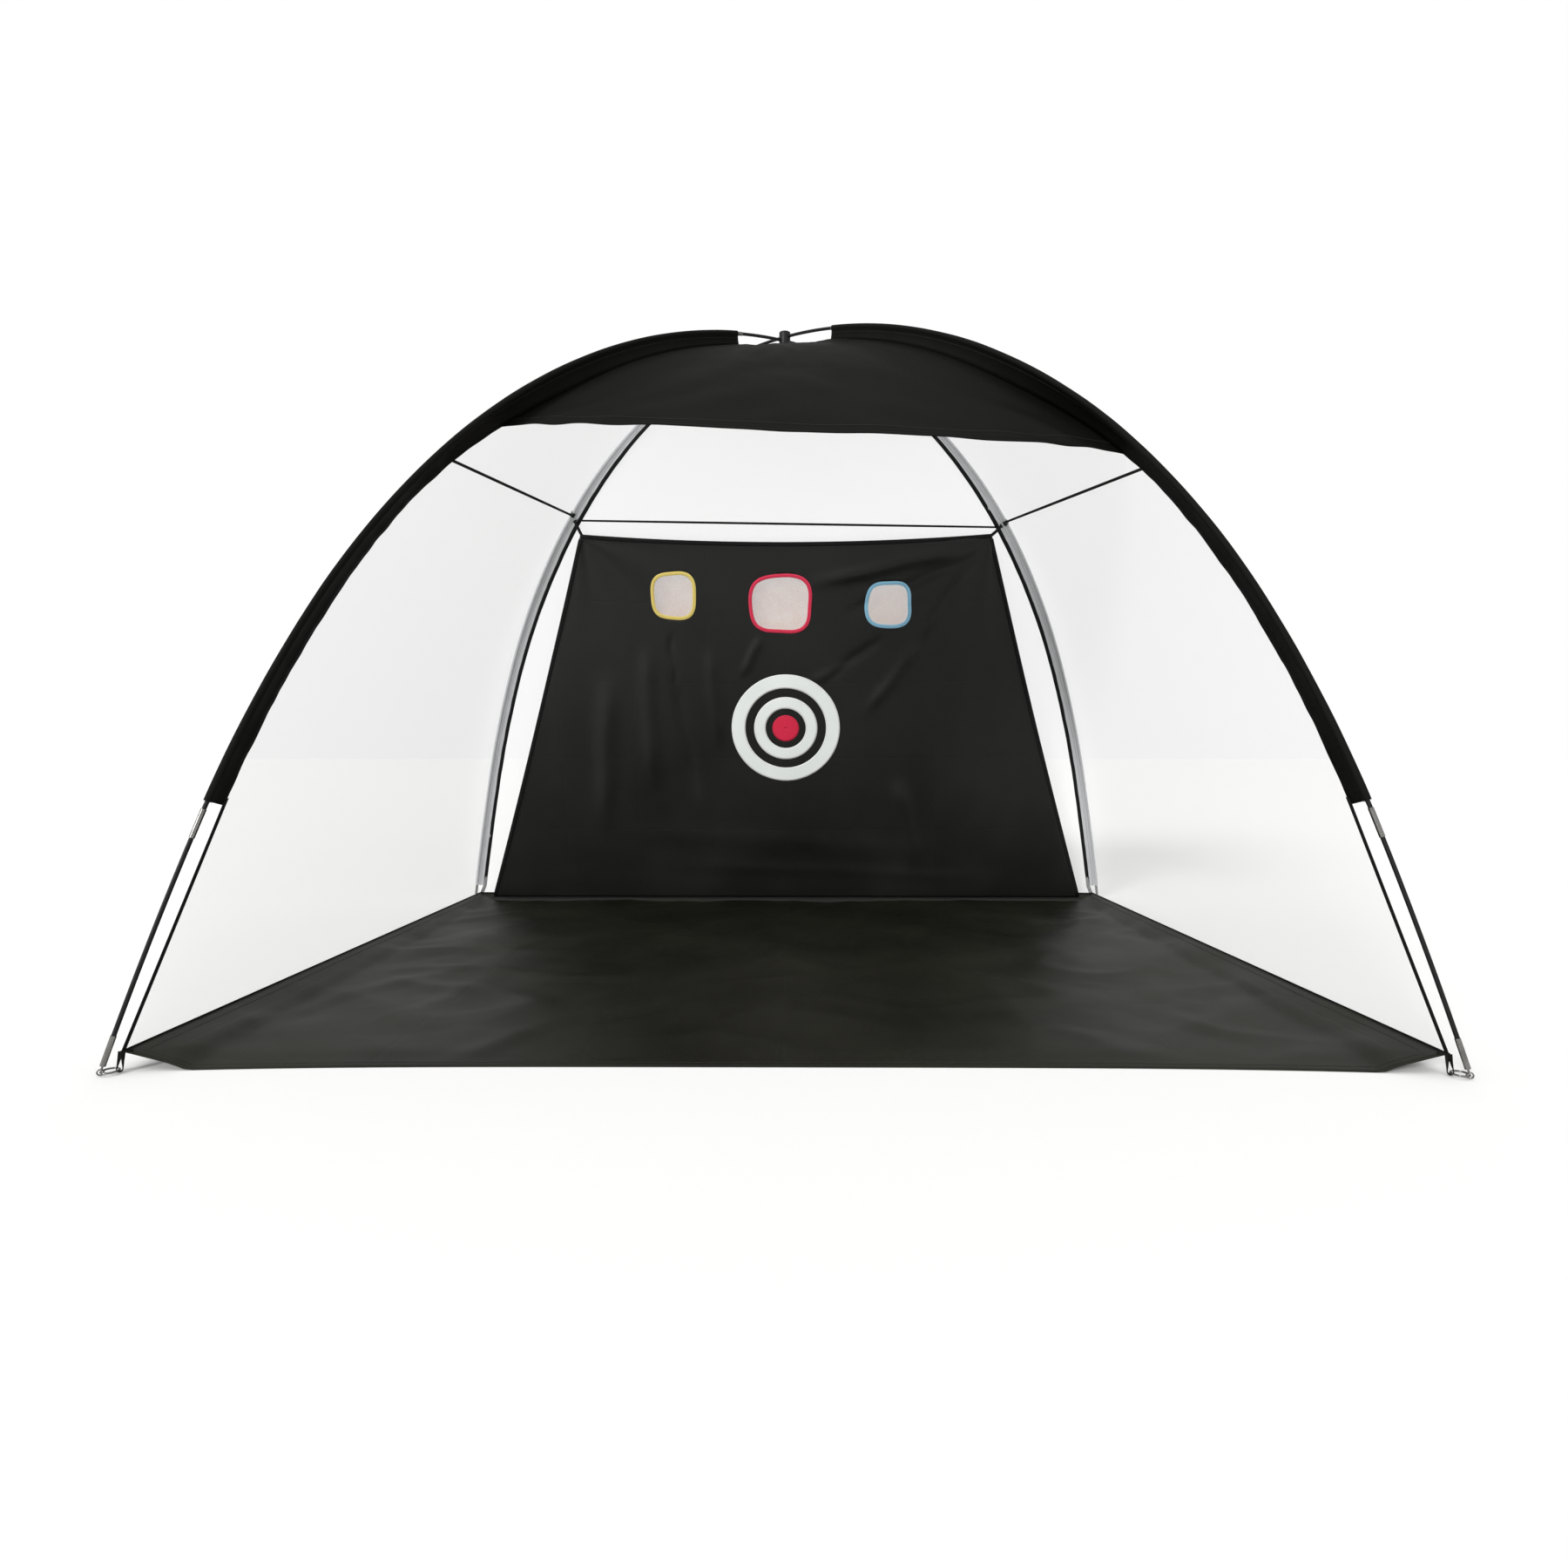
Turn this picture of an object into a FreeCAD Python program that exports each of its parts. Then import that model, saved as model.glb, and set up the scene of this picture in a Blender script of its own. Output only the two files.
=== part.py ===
import FreeCAD, Part
import math
import os

import Sketcher

# A dome-shaped golf chipping net. Two shock-corded fibreglass poles cross over the top. Each one
# runs from a front foot to the opposite rear foot and leans a little towards the rear. Net walls
# and roofs fill three sides, a fabric canopy closes the top of the open front, and a target cloth
# hangs inside the rear wall above a ground sheet.
#
# Origin: on the ground, in the middle of the four feet. X runs across, the open front faces -Y,
# +Z is up. All sizes are in millimetres and degrees.

DIMENSIONS = {
    # footprint and arches
    "front_width": 3000.0,
    "net_depth": 2300.0,
    "foot_height": 24.0,
    "lower_end_angle": 75.345,
    "upper_end_angle": 75.58,
    "lower_rearward_lean": 6.5,
    "upper_rearward_lean": 5.0,
    "section_count": 11.0,
    # poles
    "pole_radius": 5.0,
    "pole_hollow": 2.5,
    "ferrule_hollow": 5.25,
    "ferrule_radius": 6.2,
    "ferrule_length": 70.0,
    "tip_length": 65.0,
    "tip_hollow": 5.1,
    "tip_radius": 6.1,
    "shock_cord_radius": 1.5,
    "shock_cord_inset": 75.0,
    # corner anchors
    "pin_radius": 2.2,
    "pin_reach": 60.0,
    "pin_eye_wire": 1.6,
    "pin_eye_bend": 6.2,
    "pin_collar_radius": 6.0,
    "pin_collar_height": 2.0,
    "ring_height": 9.0,
    "ring_bend": 17.0,
    "ring_wire": 2.2,
    "strap_width": 12.0,
    "strap_hollow": 5.0,
    "strap_loop_radius": 7.0,
    "strap_thickness": 2.0,
    # sewn parts
    "cloth_thickness": 2.0,
    "sleeve_hollow": 8.0,
    "sleeve_radius": 9.2,
    "front_sleeve_start": 612.0,
    "rear_sleeve_start": 100.0,
    "sleeve_stop": 200.0,
    "sleeve_band": 56.0,
    "sleeve_clearance": 11.5,
    "corner_reach": 75.0,
    "sheet_front_half": 1290.0,
    "sheet_edge": 1125.0,
    "hem_lift": 4.0,
    "hem_corner_gap": 6.0,
    "front_left_seam_height": 1535.0,
    "front_right_seam_height": 1495.0,
    "rear_left_seam_height": 1700.0,
    "rear_right_seam_height": 1670.0,
    "canopy_left_height": 1595.0,
    "canopy_right_height": 1535.0,
    "seam_gap": 3.0,
    "tape_width": 14.0,
    "tape_thickness": 1.2,
    # target cloth
    "target_hem_y": 1075.0,
    "target_hem_height": 19.0,
    "target_length": 1655.0,
    "target_lean": 13.6,
    "target_hem_width": 2780.0,
    "target_top_width": 1740.0,
    "ring_outer_radius": 243.0,
    "ring_outer_hole": 181.0,
    "ring_inner_radius": 142.0,
    "ring_inner_hole": 90.0,
    "spot_radius": 60.0,
    "applique_thickness": 1.0,
    "bullseye_height": 818.0,
    "pocket_height": 1374.0,
    "left_pocket_rise": 26.0,
    "left_pocket_x": -484.0,
    "middle_pocket_x": -18.0,
    "right_pocket_x": 448.0,
    "side_pocket_width": 196.0,
    "side_pocket_height": 204.0,
    "middle_pocket_width": 262.0,
    "middle_pocket_height": 250.0,
    "pocket_corner": 70.0,
    "rim_width": 14.0,
    "rim_thickness": 4.0,
    "bag_depth": 50.0,
    "bag_wall": 2.5,
    "tie_length": 60.0,
    "tie_width": 12.0,
    "tie_thickness": 2.5,
    "loop_width": 20.0,
    "loop_rise": 14.0,
    "loop_hollow": 9.8,
    "loop_radius": 11.2,
    # crossing clip
    "clip_radius": 19.0,
    "clip_height": 40.0,
    "clip_bore": 5.6,
}

doc = FreeCAD.newDocument("chipping_net")
sheet = doc.addObject("Spreadsheet::Sheet", "dims")


def fill_sheet(values, column):
    """Write each value as plain text with its alias in the next column over."""
    letter, value_letter = column
    for row, (alias, value) in enumerate(values.items(), start=1):
        sheet.set(f"{letter}{row}", alias.replace("_", " "))
        sheet.set(f"{value_letter}{row}", f"{value:.9g}")
        sheet.setAlias(f"{value_letter}{row}", alias)


fill_sheet(DIMENSIONS, ("A", "B"))
doc.recompute()


def size(alias):
    """Read one driving dimension back from the sheet."""
    return float(sheet.get(alias))


UP = FreeCAD.Vector(0, 0, 1)
COUNT = int(size("section_count"))
HALF_WIDTH = size("front_width") / 2
HALF_DEPTH = size("net_depth") / 2
SPAN = 2 * math.hypot(HALF_WIDTH, HALF_DEPTH)
PLAN_ANGLE = math.degrees(math.atan2(HALF_DEPTH, HALF_WIDTH))


# ---- the bent poles ----------------------------------------------------------------------------


class Pole:
    """One bent pole as a chain of tangent arcs, one arc to each section.

    A pinned elastic rod bends most in its middle, so the tangent's angle falls as a cosine from
    end_angle at the front foot to its negative at the rear foot. The lean tilts the arch rearward.
    """

    def __init__(self, name, side, end_angle, rearward_lean):
        self.name = name
        self.foot = FreeCAD.Vector(side * HALF_WIDTH, -HALF_DEPTH, size("foot_height"))
        self.plan_angle = PLAN_ANGLE if side < 0 else 180 - PLAN_ANGLE
        plan = math.radians(self.plan_angle)
        self.along = FreeCAD.Vector(math.cos(plan), math.sin(plan), 0)
        lean = math.tan(math.radians(rearward_lean))
        angles = []
        for k in range(COUNT + 1):
            upright = math.radians(end_angle) * math.cos(math.pi * k / COUNT)
            angles.append(upright - lean * math.sin(upright) ** 2)
        reach, rise = self.end_of(angles, 1.0)
        settle = math.atan2(rise, reach)
        self.angles = [angle - settle for angle in angles]
        self.section = SPAN / math.hypot(reach, rise)
        self.length = self.section * COUNT
        self.turns = [a - b for a, b in zip(self.angles, self.angles[1:])]
        self.radii = [self.section / turn for turn in self.turns]
        self.starts = [(0.0, 0.0)]
        for k in range(COUNT):
            q, z = self.on_arc(k, self.section)
            self.starts.append((q, z))

    @staticmethod
    def end_of(angles, section):
        """Where a chain of arcs with these joint angles ends, along and up."""
        reach = rise = 0.0
        for a, b in zip(angles, angles[1:]):
            radius = section / (a - b)
            reach += radius * (math.sin(a) - math.sin(b))
            rise += radius * (math.cos(b) - math.cos(a))
        return reach, rise

    def on_arc(self, k, s):
        """The point a length s along section k, as (along, up) from the foot."""
        q, z = self.starts[k]
        a = self.angles[k]
        b = a - s / self.radii[k]
        radius = self.radii[k]
        return q + radius * (math.sin(a) - math.sin(b)), z + radius * (math.cos(b) - math.cos(a))

    def index(self, s):
        """The section that holds arc length s, and the length into it."""
        k = min(int(s / self.section), COUNT - 1)
        return k, s - k * self.section

    def angle(self, s):
        """The tangent's elevation at arc length s, in radians."""
        k, rest = self.index(s)
        return self.angles[k] - rest / self.radii[k]

    def point(self, s):
        """The pole's axis at arc length s, measured from the front foot."""
        k, rest = self.index(s)
        q, z = self.on_arc(k, rest)
        return self.foot + self.along * q + UP * z

    def tangent(self, s):
        """The direction of the pole at arc length s, towards the rear foot."""
        a = self.angle(s)
        return self.along * math.cos(a) + UP * math.sin(a)

    def normal(self, s):
        """The direction out of the bend at arc length s."""
        a = self.angle(s)
        return UP * math.cos(a) - self.along * math.sin(a)

    def frame(self, s, radius):
        """A placement at the arc's centre, X out to the pole at s and -Z along the pole."""
        turn = FreeCAD.Rotation(UP, self.plan_angle)
        tilt = FreeCAD.Rotation(FreeCAD.Vector(0, 1, 0), -90 - math.degrees(self.angle(s)))
        return FreeCAD.Placement(self.point(s) - self.normal(s) * radius, turn * tilt)

    def crossing(self):
        """The arc length at which the pole passes over the middle of the footprint."""
        low, high = 0.0, self.length
        while high - low > 1e-6:
            middle = (low + high) / 2
            if (self.point(middle) - self.foot).dot(self.along) < SPAN / 2:
                low = middle
            else:
                high = middle
        return (low + high) / 2


lower = Pole("lower_pole", -1, size("lower_end_angle"), size("lower_rearward_lean"))
upper = Pole("upper_pole", 1, size("upper_end_angle"), size("upper_rearward_lean"))
POLES = (lower, upper)

derived = {}
for pole in POLES:
    derived[pole.name + "_section"] = pole.section
    for k in range(COUNT):
        derived[f"{pole.name}_bend_{k + 1}"] = pole.radii[k]
        derived[f"{pole.name}_turn_{k + 1}"] = math.degrees(pole.turns[k])
fill_sheet(derived, ("D", "E"))
doc.recompute()
print("pole length", round(lower.length), round(upper.length), "section", round(lower.section, 1))
print("crossing heights", [round(pole.point(pole.crossing()).z, 1) for pole in POLES])

# ---- small helpers ------------------------------------------------------------------------------

sub_parts = []


def keep(thing, label):
    """Name an object as a finished sub-part."""
    thing.Label = label
    sub_parts.append(thing)
    return thing


def new_body(name):
    return doc.addObject("PartDesign::Body", name)


def new_sketch(body, role="XY_Plane", lift=None):
    """A sketch on one of the body's own origin planes, lifted off it by a named size."""
    sketch = body.newObject("Sketcher::SketchObject", "sketch")
    plane = next(f for f in body.Origin.OriginFeatures if f.Role == role)
    sketch.AttachmentSupport = [(plane, "")]
    sketch.MapMode = "FlatFace"
    if lift:
        sketch.setExpression("AttachmentOffset.Base.z", lift)
    return sketch


def add_circle(sketch, radius, x=None, y=None):
    """A circle whose radius and centre are expressions on the sheet."""
    n = sketch.addGeometry(Part.Circle(FreeCAD.Vector(10, 10, 0), UP, 5), False)
    bind(sketch, Sketcher.Constraint("Radius", n, 5), radius)
    for kind, value in (("DistanceX", x), ("DistanceY", y)):
        if value:
            bind(sketch, Sketcher.Constraint(kind, -1, 1, n, 3, 10), value)
        else:
            axis = -2 if kind == "DistanceX" else -1
            sketch.addConstraint(Sketcher.Constraint("PointOnObject", n, 3, axis))


def bind(sketch, constraint, expression):
    """Add a constraint and give it its value from the sheet."""
    n = sketch.addConstraint(constraint)
    sketch.setExpression(f"Constraints[{n}]", expression)


def add_outline(sketch, points):
    """A closed outline of straight edges through the given points."""
    corners = [FreeCAD.Vector(x, y, 0) for x, y in points]
    first = sketch.GeometryCount
    for a, b in zip(corners, corners[1:] + corners[:1]):
        sketch.addGeometry(Part.LineSegment(a, b), False)
    for k in range(len(corners)):
        following = first + (k + 1) % len(corners)
        sketch.addConstraint(Sketcher.Constraint("Coincident", first + k, 2, following, 1))
        sketch.addConstraint(Sketcher.Constraint("Block", first + k))


def add_rounded(sketch, width, height, corner, x=0.0, y=0.0):
    """A closed rectangle with round corners, centred on (x, y)."""
    for sx, sy, start in ((1, 1, 0), (-1, 1, 90), (-1, -1, 180), (1, -1, 270)):
        middle = FreeCAD.Vector(x + sx * (width / 2 - corner), y + sy * (height / 2 - corner), 0)
        a, b = math.radians(start), math.radians(start + 90)
        arc = Part.ArcOfCircle(Part.Circle(middle, UP, corner), a, b)
        sketch.addGeometry(arc, False)
    count = sketch.GeometryCount
    arcs = range(count - 4, count)
    ends = [(sketch.getPoint(n, 1), sketch.getPoint(n, 2)) for n in arcs]
    for k in range(4):
        line = Part.LineSegment(ends[k][1], ends[(k + 1) % 4][0])
        n = sketch.addGeometry(line, False)
        sketch.addConstraint(Sketcher.Constraint("Coincident", count - 4 + k, 2, n, 1))
        sketch.addConstraint(Sketcher.Constraint("Coincident", n, 2, count - 4 + (k + 1) % 4, 1))
    for n in range(count - 4, sketch.GeometryCount):
        sketch.addConstraint(Sketcher.Constraint("Block", n))


def pad(body, sketch, length, symmetric=False, reverse=False):
    feature = body.newObject("PartDesign::Pad", "pad")
    feature.Profile = sketch
    feature.setExpression("Length", length)
    feature.SideType = "Symmetric" if symmetric else "One side"
    feature.Reversed = reverse
    return feature


def revolve(body, sketch, angle, symmetric=False):
    """Turn a sketch about its own vertical axis."""
    feature = body.newObject("PartDesign::Revolution", "turn")
    feature.Profile = sketch
    feature.ReferenceAxis = (sketch, ["V_Axis"])
    feature.Midplane = symmetric
    if isinstance(angle, str):
        feature.setExpression("Angle", angle)
    else:
        feature.Angle = angle
    return feature


def arc_tube(name, placement, bend, angle, outside, inside, symmetric=False):
    """A tube bent to an arc: a ring-shaped section turned about the arc's centre."""
    body = new_body(name)
    sketch = new_sketch(body)
    add_circle(sketch, outside, x=bend)
    add_circle(sketch, inside, x=bend)
    revolve(body, sketch, angle, symmetric)
    body.Placement = placement
    return body


def group(label, members):
    """Identical loose pieces that share one node."""
    compound = doc.addObject("Part::Compound", label)
    compound.Links = members
    return keep(compound, label)


# ---- pole sections, ferrules, tips and shock cords ----------------------------------------------

for pole in POLES:
    for k in range(COUNT):
        placement = pole.frame(k * pole.section + 1e-7, pole.radii[k])
        bend = f"dims.{pole.name}_bend_{k + 1}"
        turn = f"dims.{pole.name}_turn_{k + 1}"
        name = f"{pole.name}_section_{k + 1}"
        keep(arc_tube(name, placement, bend, turn, "dims.pole_radius", "dims.pole_hollow"), name)

for pole in POLES:
    ferrules = []
    for k in range(1, COUNT):
        radius = (pole.radii[k - 1] + pole.radii[k]) / 2
        bend = f"(dims.{pole.name}_bend_{k} + dims.{pole.name}_bend_{k + 1}) / 2"
        turn = math.degrees(size("ferrule_length") / radius)
        placement = pole.frame(k * pole.section, radius)
        outside, inside = "dims.ferrule_radius", "dims.ferrule_hollow"
        ferrules.append(arc_tube("ferrule", placement, bend, turn, outside, inside, symmetric=True))
    group(f"{pole.name}_ferrules", ferrules)

tips = []
for pole in POLES:
    for k, start in ((0, 0.0), (COUNT - 1, pole.length - size("tip_length"))):
        bend = f"dims.{pole.name}_bend_{k + 1}"
        turn = math.degrees(size("tip_length") / pole.radii[k])
        placement = pole.frame(start, pole.radii[k])
        tips.append(arc_tube("tip", placement, bend, turn, "dims.tip_radius", "dims.tip_hollow"))
group("pole_tips", tips)


def arc_path(pole, start, stop):
    """The pole's axis from arc length start to stop, as a wire of tangent arcs."""
    cuts = [start]
    cuts += [k * pole.section for k in range(1, COUNT) if start + 1 < k * pole.section < stop - 1]
    cuts += [stop]
    edges = []
    for a, b in zip(cuts, cuts[1:]):
        edges.append(Part.Arc(pole.point(a + 1e-6), pole.point((a + b) / 2), pole.point(b - 1e-6)).toShape())
    return Part.Wire(joined(edges))


def joined(edges):
    """The same arcs with each start moved exactly onto the end before it."""
    exact = [edges[0]]
    for edge in edges[1:]:
        start = exact[-1].valueAt(exact[-1].LastParameter)
        middle = edge.valueAt((edge.FirstParameter + edge.LastParameter) / 2)
        end = edge.valueAt(edge.LastParameter)
        exact.append(Part.Arc(start, middle, end).toShape())
    return exact


def pipe_along(pole, start, stop, radius):
    """A round bar that follows the pole's axis."""
    path = arc_path(pole, start, stop)
    ring = Part.Circle(pole.point(start), pole.tangent(start), radius).toShape()
    return path.makePipeShell([Part.Wire(ring)], True, False)


for pole in POLES:
    cord = doc.addObject("Part::Feature", "shock_cord")
    inset = size("shock_cord_inset")
    cord.Shape = pipe_along(pole, inset, pole.length - inset, size("shock_cord_radius"))
    keep(cord, f"{pole.name}_shock_cord")

# ---- corner anchors: pin, ring and webbing strap ------------------------------------------------


def corner_frames():
    """Each foot's name, inward direction, plan angle and the pole's direction into the pole."""
    frames = []
    for name, pole, at_front in (
        ("front_left", lower, True),
        ("front_right", upper, True),
        ("rear_right", lower, False),
        ("rear_left", upper, False),
    ):
        s = 0.0 if at_front else pole.length
        inward = pole.along if at_front else -pole.along
        upward = pole.tangent(s) if at_front else -pole.tangent(s)
        plan = pole.plan_angle if at_front else pole.plan_angle + 180
        frames.append((name, pole.point(s), inward, upward, plan))
    return frames


pins = []
straps = []
for name, foot, inward, upward, plan in corner_frames():
    drop = (size("foot_height") - size("ring_height")) / upward.z
    eye = foot - upward * drop
    sideways = UP.cross(inward)
    # the pin: an eye round the ring, a shank up into the pole and a collar that the pole stands on
    body = new_body("pin")
    sketch = new_sketch(body)
    add_circle(sketch, "dims.pin_eye_wire", x="dims.pin_eye_bend")
    revolve(body, sketch, 360)
    sketch = new_sketch(body, lift="dims.pin_eye_bend - dims.pin_eye_wire / 2")
    add_circle(sketch, "dims.pin_radius")
    pad(body, sketch, "dims.foot_height - dims.ring_height - dims.pin_eye_bend + dims.pin_reach")
    sketch = new_sketch(body, lift=f"{drop:.6f} - dims.pin_collar_height")
    add_circle(sketch, "dims.pin_collar_radius")
    pad(body, sketch, "dims.pin_collar_height")
    across = sideways.cross(upward)
    body.Placement = FreeCAD.Placement(eye, FreeCAD.Rotation(across, sideways, upward, "ZYX"))
    pins.append(body)
    # the ring: it lies flat, with the pin's eye on one side and the strap's loop on the other
    body = new_body("ring")
    sketch = new_sketch(body, "XZ_Plane")
    add_circle(sketch, "dims.ring_wire", x="dims.ring_bend")
    revolve(body, sketch, 360)
    centre = eye + inward * size("ring_bend")
    body.Placement = FreeCAD.Placement(centre, FreeCAD.Rotation(UP, plan))
    keep(body, f"{name}_ring")
    print(name, "ring centre", [round(v, 2) for v in centre], "inward", [round(v, 4) for v in inward])
    # the strap: a loop round the ring and a tail that is sewn on top of the sheet's corner
    body = new_body("strap")
    sketch = new_sketch(body, "XZ_Plane")
    add_circle(sketch, "dims.strap_loop_radius")
    add_circle(sketch, "dims.strap_hollow")
    pad(body, sketch, "dims.strap_width", symmetric=True)
    loop = centre + inward * size("ring_bend")
    tail = size("corner_reach") + 20 - (loop - foot).dot(inward)
    sheet_top = size("cloth_thickness") + 0.5 - size("ring_height")
    webbing = size("strap_thickness")
    inner = size("strap_hollow") + 0.4
    sketch = new_sketch(body, "XZ_Plane")
    outline = [(inner, -webbing / 2), (tail * 0.7, sheet_top), (tail, sheet_top)]
    outline += [(tail, sheet_top + webbing), (tail * 0.7, sheet_top + webbing), (inner, webbing / 2)]
    add_outline(sketch, outline)
    pad(body, sketch, "dims.strap_width", symmetric=True)
    body.Placement = FreeCAD.Placement(loop, FreeCAD.Rotation(UP, plan))
    straps.append(body)
group("anchor_pins", pins)
group("corner_straps", straps)

# ---- crossing clip ------------------------------------------------------------------------------

clip = doc.addObject("Part::Cylinder", "clip_block")
clip.setExpression("Radius", "dims.clip_radius")
clip.setExpression("Height", "dims.clip_height")
middle = (lower.point(lower.crossing()) + upper.point(upper.crossing())) * 0.5
clip.Placement = FreeCAD.Placement(middle - UP * (size("clip_height") / 2), FreeCAD.Rotation())
tunnels = []
for pole in POLES:
    tunnel = doc.addObject("Part::Cylinder", "clip_tunnel")
    tunnel.setExpression("Radius", "dims.clip_bore")
    tunnel.setExpression("Height", "dims.clip_height * 2")
    s = pole.crossing()
    start = pole.point(s) - pole.tangent(s) * size("clip_height")
    tunnel.Placement = FreeCAD.Placement(start, FreeCAD.Rotation(UP, pole.tangent(s)))
    tunnels.append(tunnel)
both = doc.addObject("Part::Fuse", "clip_tunnels")
both.Base, both.Tool = tunnels
crossing_clip = doc.addObject("Part::Cut", "clip")
crossing_clip.Base, crossing_clip.Tool = clip, both
keep(crossing_clip, "crossing_clip")

# ---- sleeves, nets, canopy and seams ------------------------------------------------------------

FRONT_LEFT = ("front_left", lower, True)
FRONT_RIGHT = ("front_right", upper, True)
REAR_LEFT = ("rear_left", upper, False)
REAR_RIGHT = ("rear_right", lower, False)


def from_foot(edge, s):
    """The arc length from the front foot of the point s away from this edge's own foot."""
    _, pole, at_front = edge
    return s if at_front else pole.length - s


def edge_length(edge):
    """The length of a half pole, from its foot to the crossing."""
    _, pole, at_front = edge
    return pole.crossing() if at_front else pole.length - pole.crossing()


def height_to_length(edge, height):
    """How far up a half pole its axis first reaches a height."""
    s = 0.0
    while edge[1].point(from_foot(edge, s)).z < height:
        s += 1.0
    return s


for edge in (FRONT_LEFT, FRONT_RIGHT, REAR_LEFT, REAR_RIGHT):
    name, pole, at_front = edge
    start = size("front_sleeve_start" if at_front else "rear_sleeve_start")
    ends = sorted((from_foot(edge, start), from_foot(edge, edge_length(edge) - size("sleeve_stop"))))
    outer = pipe_along(pole, *ends, size("sleeve_radius"))
    bore = pipe_along(pole, *ends, size("sleeve_hollow"))
    sleeve = doc.addObject("Part::Feature", "sleeve")
    sleeve.Shape = outer.cut(bore)
    keep(sleeve, f"{name}_sleeve")


def inset_pair(left, right, s_left, s_right, clear):
    """Two facing points on two half poles, moved towards each other to clear both poles."""
    a = left[1].point(from_foot(left, s_left))
    b = right[1].point(from_foot(right, s_right))
    ruling = (b - a).normalize()
    lean_a = ruling.cross(left[1].tangent(from_foot(left, s_left))).Length
    lean_b = ruling.cross(right[1].tangent(from_foot(right, s_right))).Length
    return a + ruling * (clear / lean_a), b - ruling * (clear / lean_b)


def seam_height(edge):
    """The height at which the seam between wall and roof meets a half pole."""
    return size(f"{edge[0]}_seam_height")


def ground_corner(edge):
    """The corner of the sewn net on the ground, inside one foot."""
    _, pole, at_front = edge
    foot = pole.point(from_foot(edge, 0.0))
    inward = pole.along if at_front else -pole.along
    corner = foot + inward * size("corner_reach")
    return FreeCAD.Vector(corner.x, corner.y, size("cloth_thickness") + size("hem_lift"))


def ruled_sheet(label, pairs, thickness):
    """A taut sheet of one thickness through a row of straight rulings."""
    middles = [(a + b) * 0.5 for a, b in pairs]
    wires = []
    for k, (a, b) in enumerate(pairs):
        climb = middles[min(k + 1, len(pairs) - 1)] - middles[max(k - 1, 0)]
        out = (b - a).cross(climb).normalize() * (thickness / 2)
        wires.append(Part.makePolygon([a + out, b + out, b - out, a - out, a + out]))
    sheet_shape = Part.makeLoft(wires, True, True)
    panel = doc.addObject("Part::Feature", label)
    panel.Shape = sheet_shape
    return keep(panel, label)


def steps(start, stop, count):
    return [start + (stop - start) * k / count for k in range(count + 1)]


def wall_hem(left, right):
    """The ruling along the ground between two corners, kept clear of the next wall's corner."""
    a, b = ground_corner(left), ground_corner(right)
    ruling = (b - a).normalize() * size("hem_corner_gap")
    return a + ruling, b - ruling


def wall_pairs(left, right):
    """The rulings of a wall: the ground hem, then up both poles to just under the seam.

    Beside a front foot the pole is bare, so the wall's edge runs straight to the sleeve's end.
    """
    clear = size("sleeve_clearance")
    low, high = size("rear_sleeve_start"), size("front_sleeve_start")
    hem = wall_hem(left, right)
    sleeve_end = inset_pair(left, right, high, high, size("sleeve_band"))
    pairs = [hem]
    for s in steps(low, high, 4):
        pair = list(inset_pair(left, right, s, s, clear))
        for n, edge in enumerate((left, right)):
            if edge[2]:
                pair[n] = hem[n] + (sleeve_end[n] - hem[n]) * (s / high)
        pairs.append(tuple(pair))
    gap = size("seam_gap") / 2
    ups_left = steps(high + size("sleeve_band"), height_to_length(left, seam_height(left) - gap), 6)
    ups_right = steps(high + size("sleeve_band"), height_to_length(right, seam_height(right) - gap), 6)
    pairs += [inset_pair(left, right, a, b, clear) for a, b in zip(ups_left, ups_right)]
    return pairs


def roof_pairs(left, right, left_base, right_base, count=6):
    """The rulings of a roof: from its lower edge's two heights to where the sleeves stop."""
    clear = size("sleeve_clearance")
    stop = size("sleeve_stop")
    ups_left = steps(height_to_length(left, left_base), edge_length(left) - stop, count)
    ups_right = steps(height_to_length(right, right_base), edge_length(right) - stop, count)
    return [inset_pair(left, right, a, b, clear) for a, b in zip(ups_left, ups_right)]


SIDES = (
    ("left", REAR_LEFT, FRONT_LEFT),
    ("right", FRONT_RIGHT, REAR_RIGHT),
    ("rear", REAR_RIGHT, REAR_LEFT),
)
cloth_thickness = size("cloth_thickness")
tapes = []
for side, left, right in SIDES:
    ruled_sheet(f"{side}_wall_net", wall_pairs(left, right), cloth_thickness)
    gap = size("seam_gap") / 2
    roof = roof_pairs(left, right, seam_height(left) + gap, seam_height(right) + gap)
    ruled_sheet(f"{side}_roof_net", roof, cloth_thickness)
    # the seam tape lies along the inside of the joint between wall and roof
    s_left = height_to_length(left, seam_height(left))
    s_right = height_to_length(right, seam_height(right))
    a, b = inset_pair(left, right, s_left, s_right, size("sleeve_clearance") + 4)
    along = (b - a).normalize()
    climb = (left[1].tangent(from_foot(left, s_left)) * (1 if left[2] else -1)).normalize()
    climb = (climb - along * climb.dot(along)).normalize()
    inside = climb.cross(along).normalize()
    if inside.dot((a + b) * 0.5) > 0:
        inside = -inside
    tape = doc.addObject("Part::Box", "tape")
    tape.Length = (b - a).Length
    tape.setExpression("Width", "dims.tape_width")
    tape.setExpression("Height", "dims.tape_thickness")
    corner = a - climb * (size("tape_width") / 2) + inside * (cloth_thickness / 2 + 2.0)
    if along.cross(climb).dot(inside) < 0:
        corner = corner + inside * size("tape_thickness")
    tape.Placement = FreeCAD.Placement(corner, FreeCAD.Rotation(along, climb, along.cross(climb), "XYZ"))
    tapes.append(tape)
group("roof_seam_tapes", tapes)
canopy = roof_pairs(FRONT_LEFT, FRONT_RIGHT, size("canopy_left_height"), size("canopy_right_height"))
ruled_sheet("front_canopy", canopy, cloth_thickness)

# ---- ground sheet -------------------------------------------------------------------------------

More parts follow.
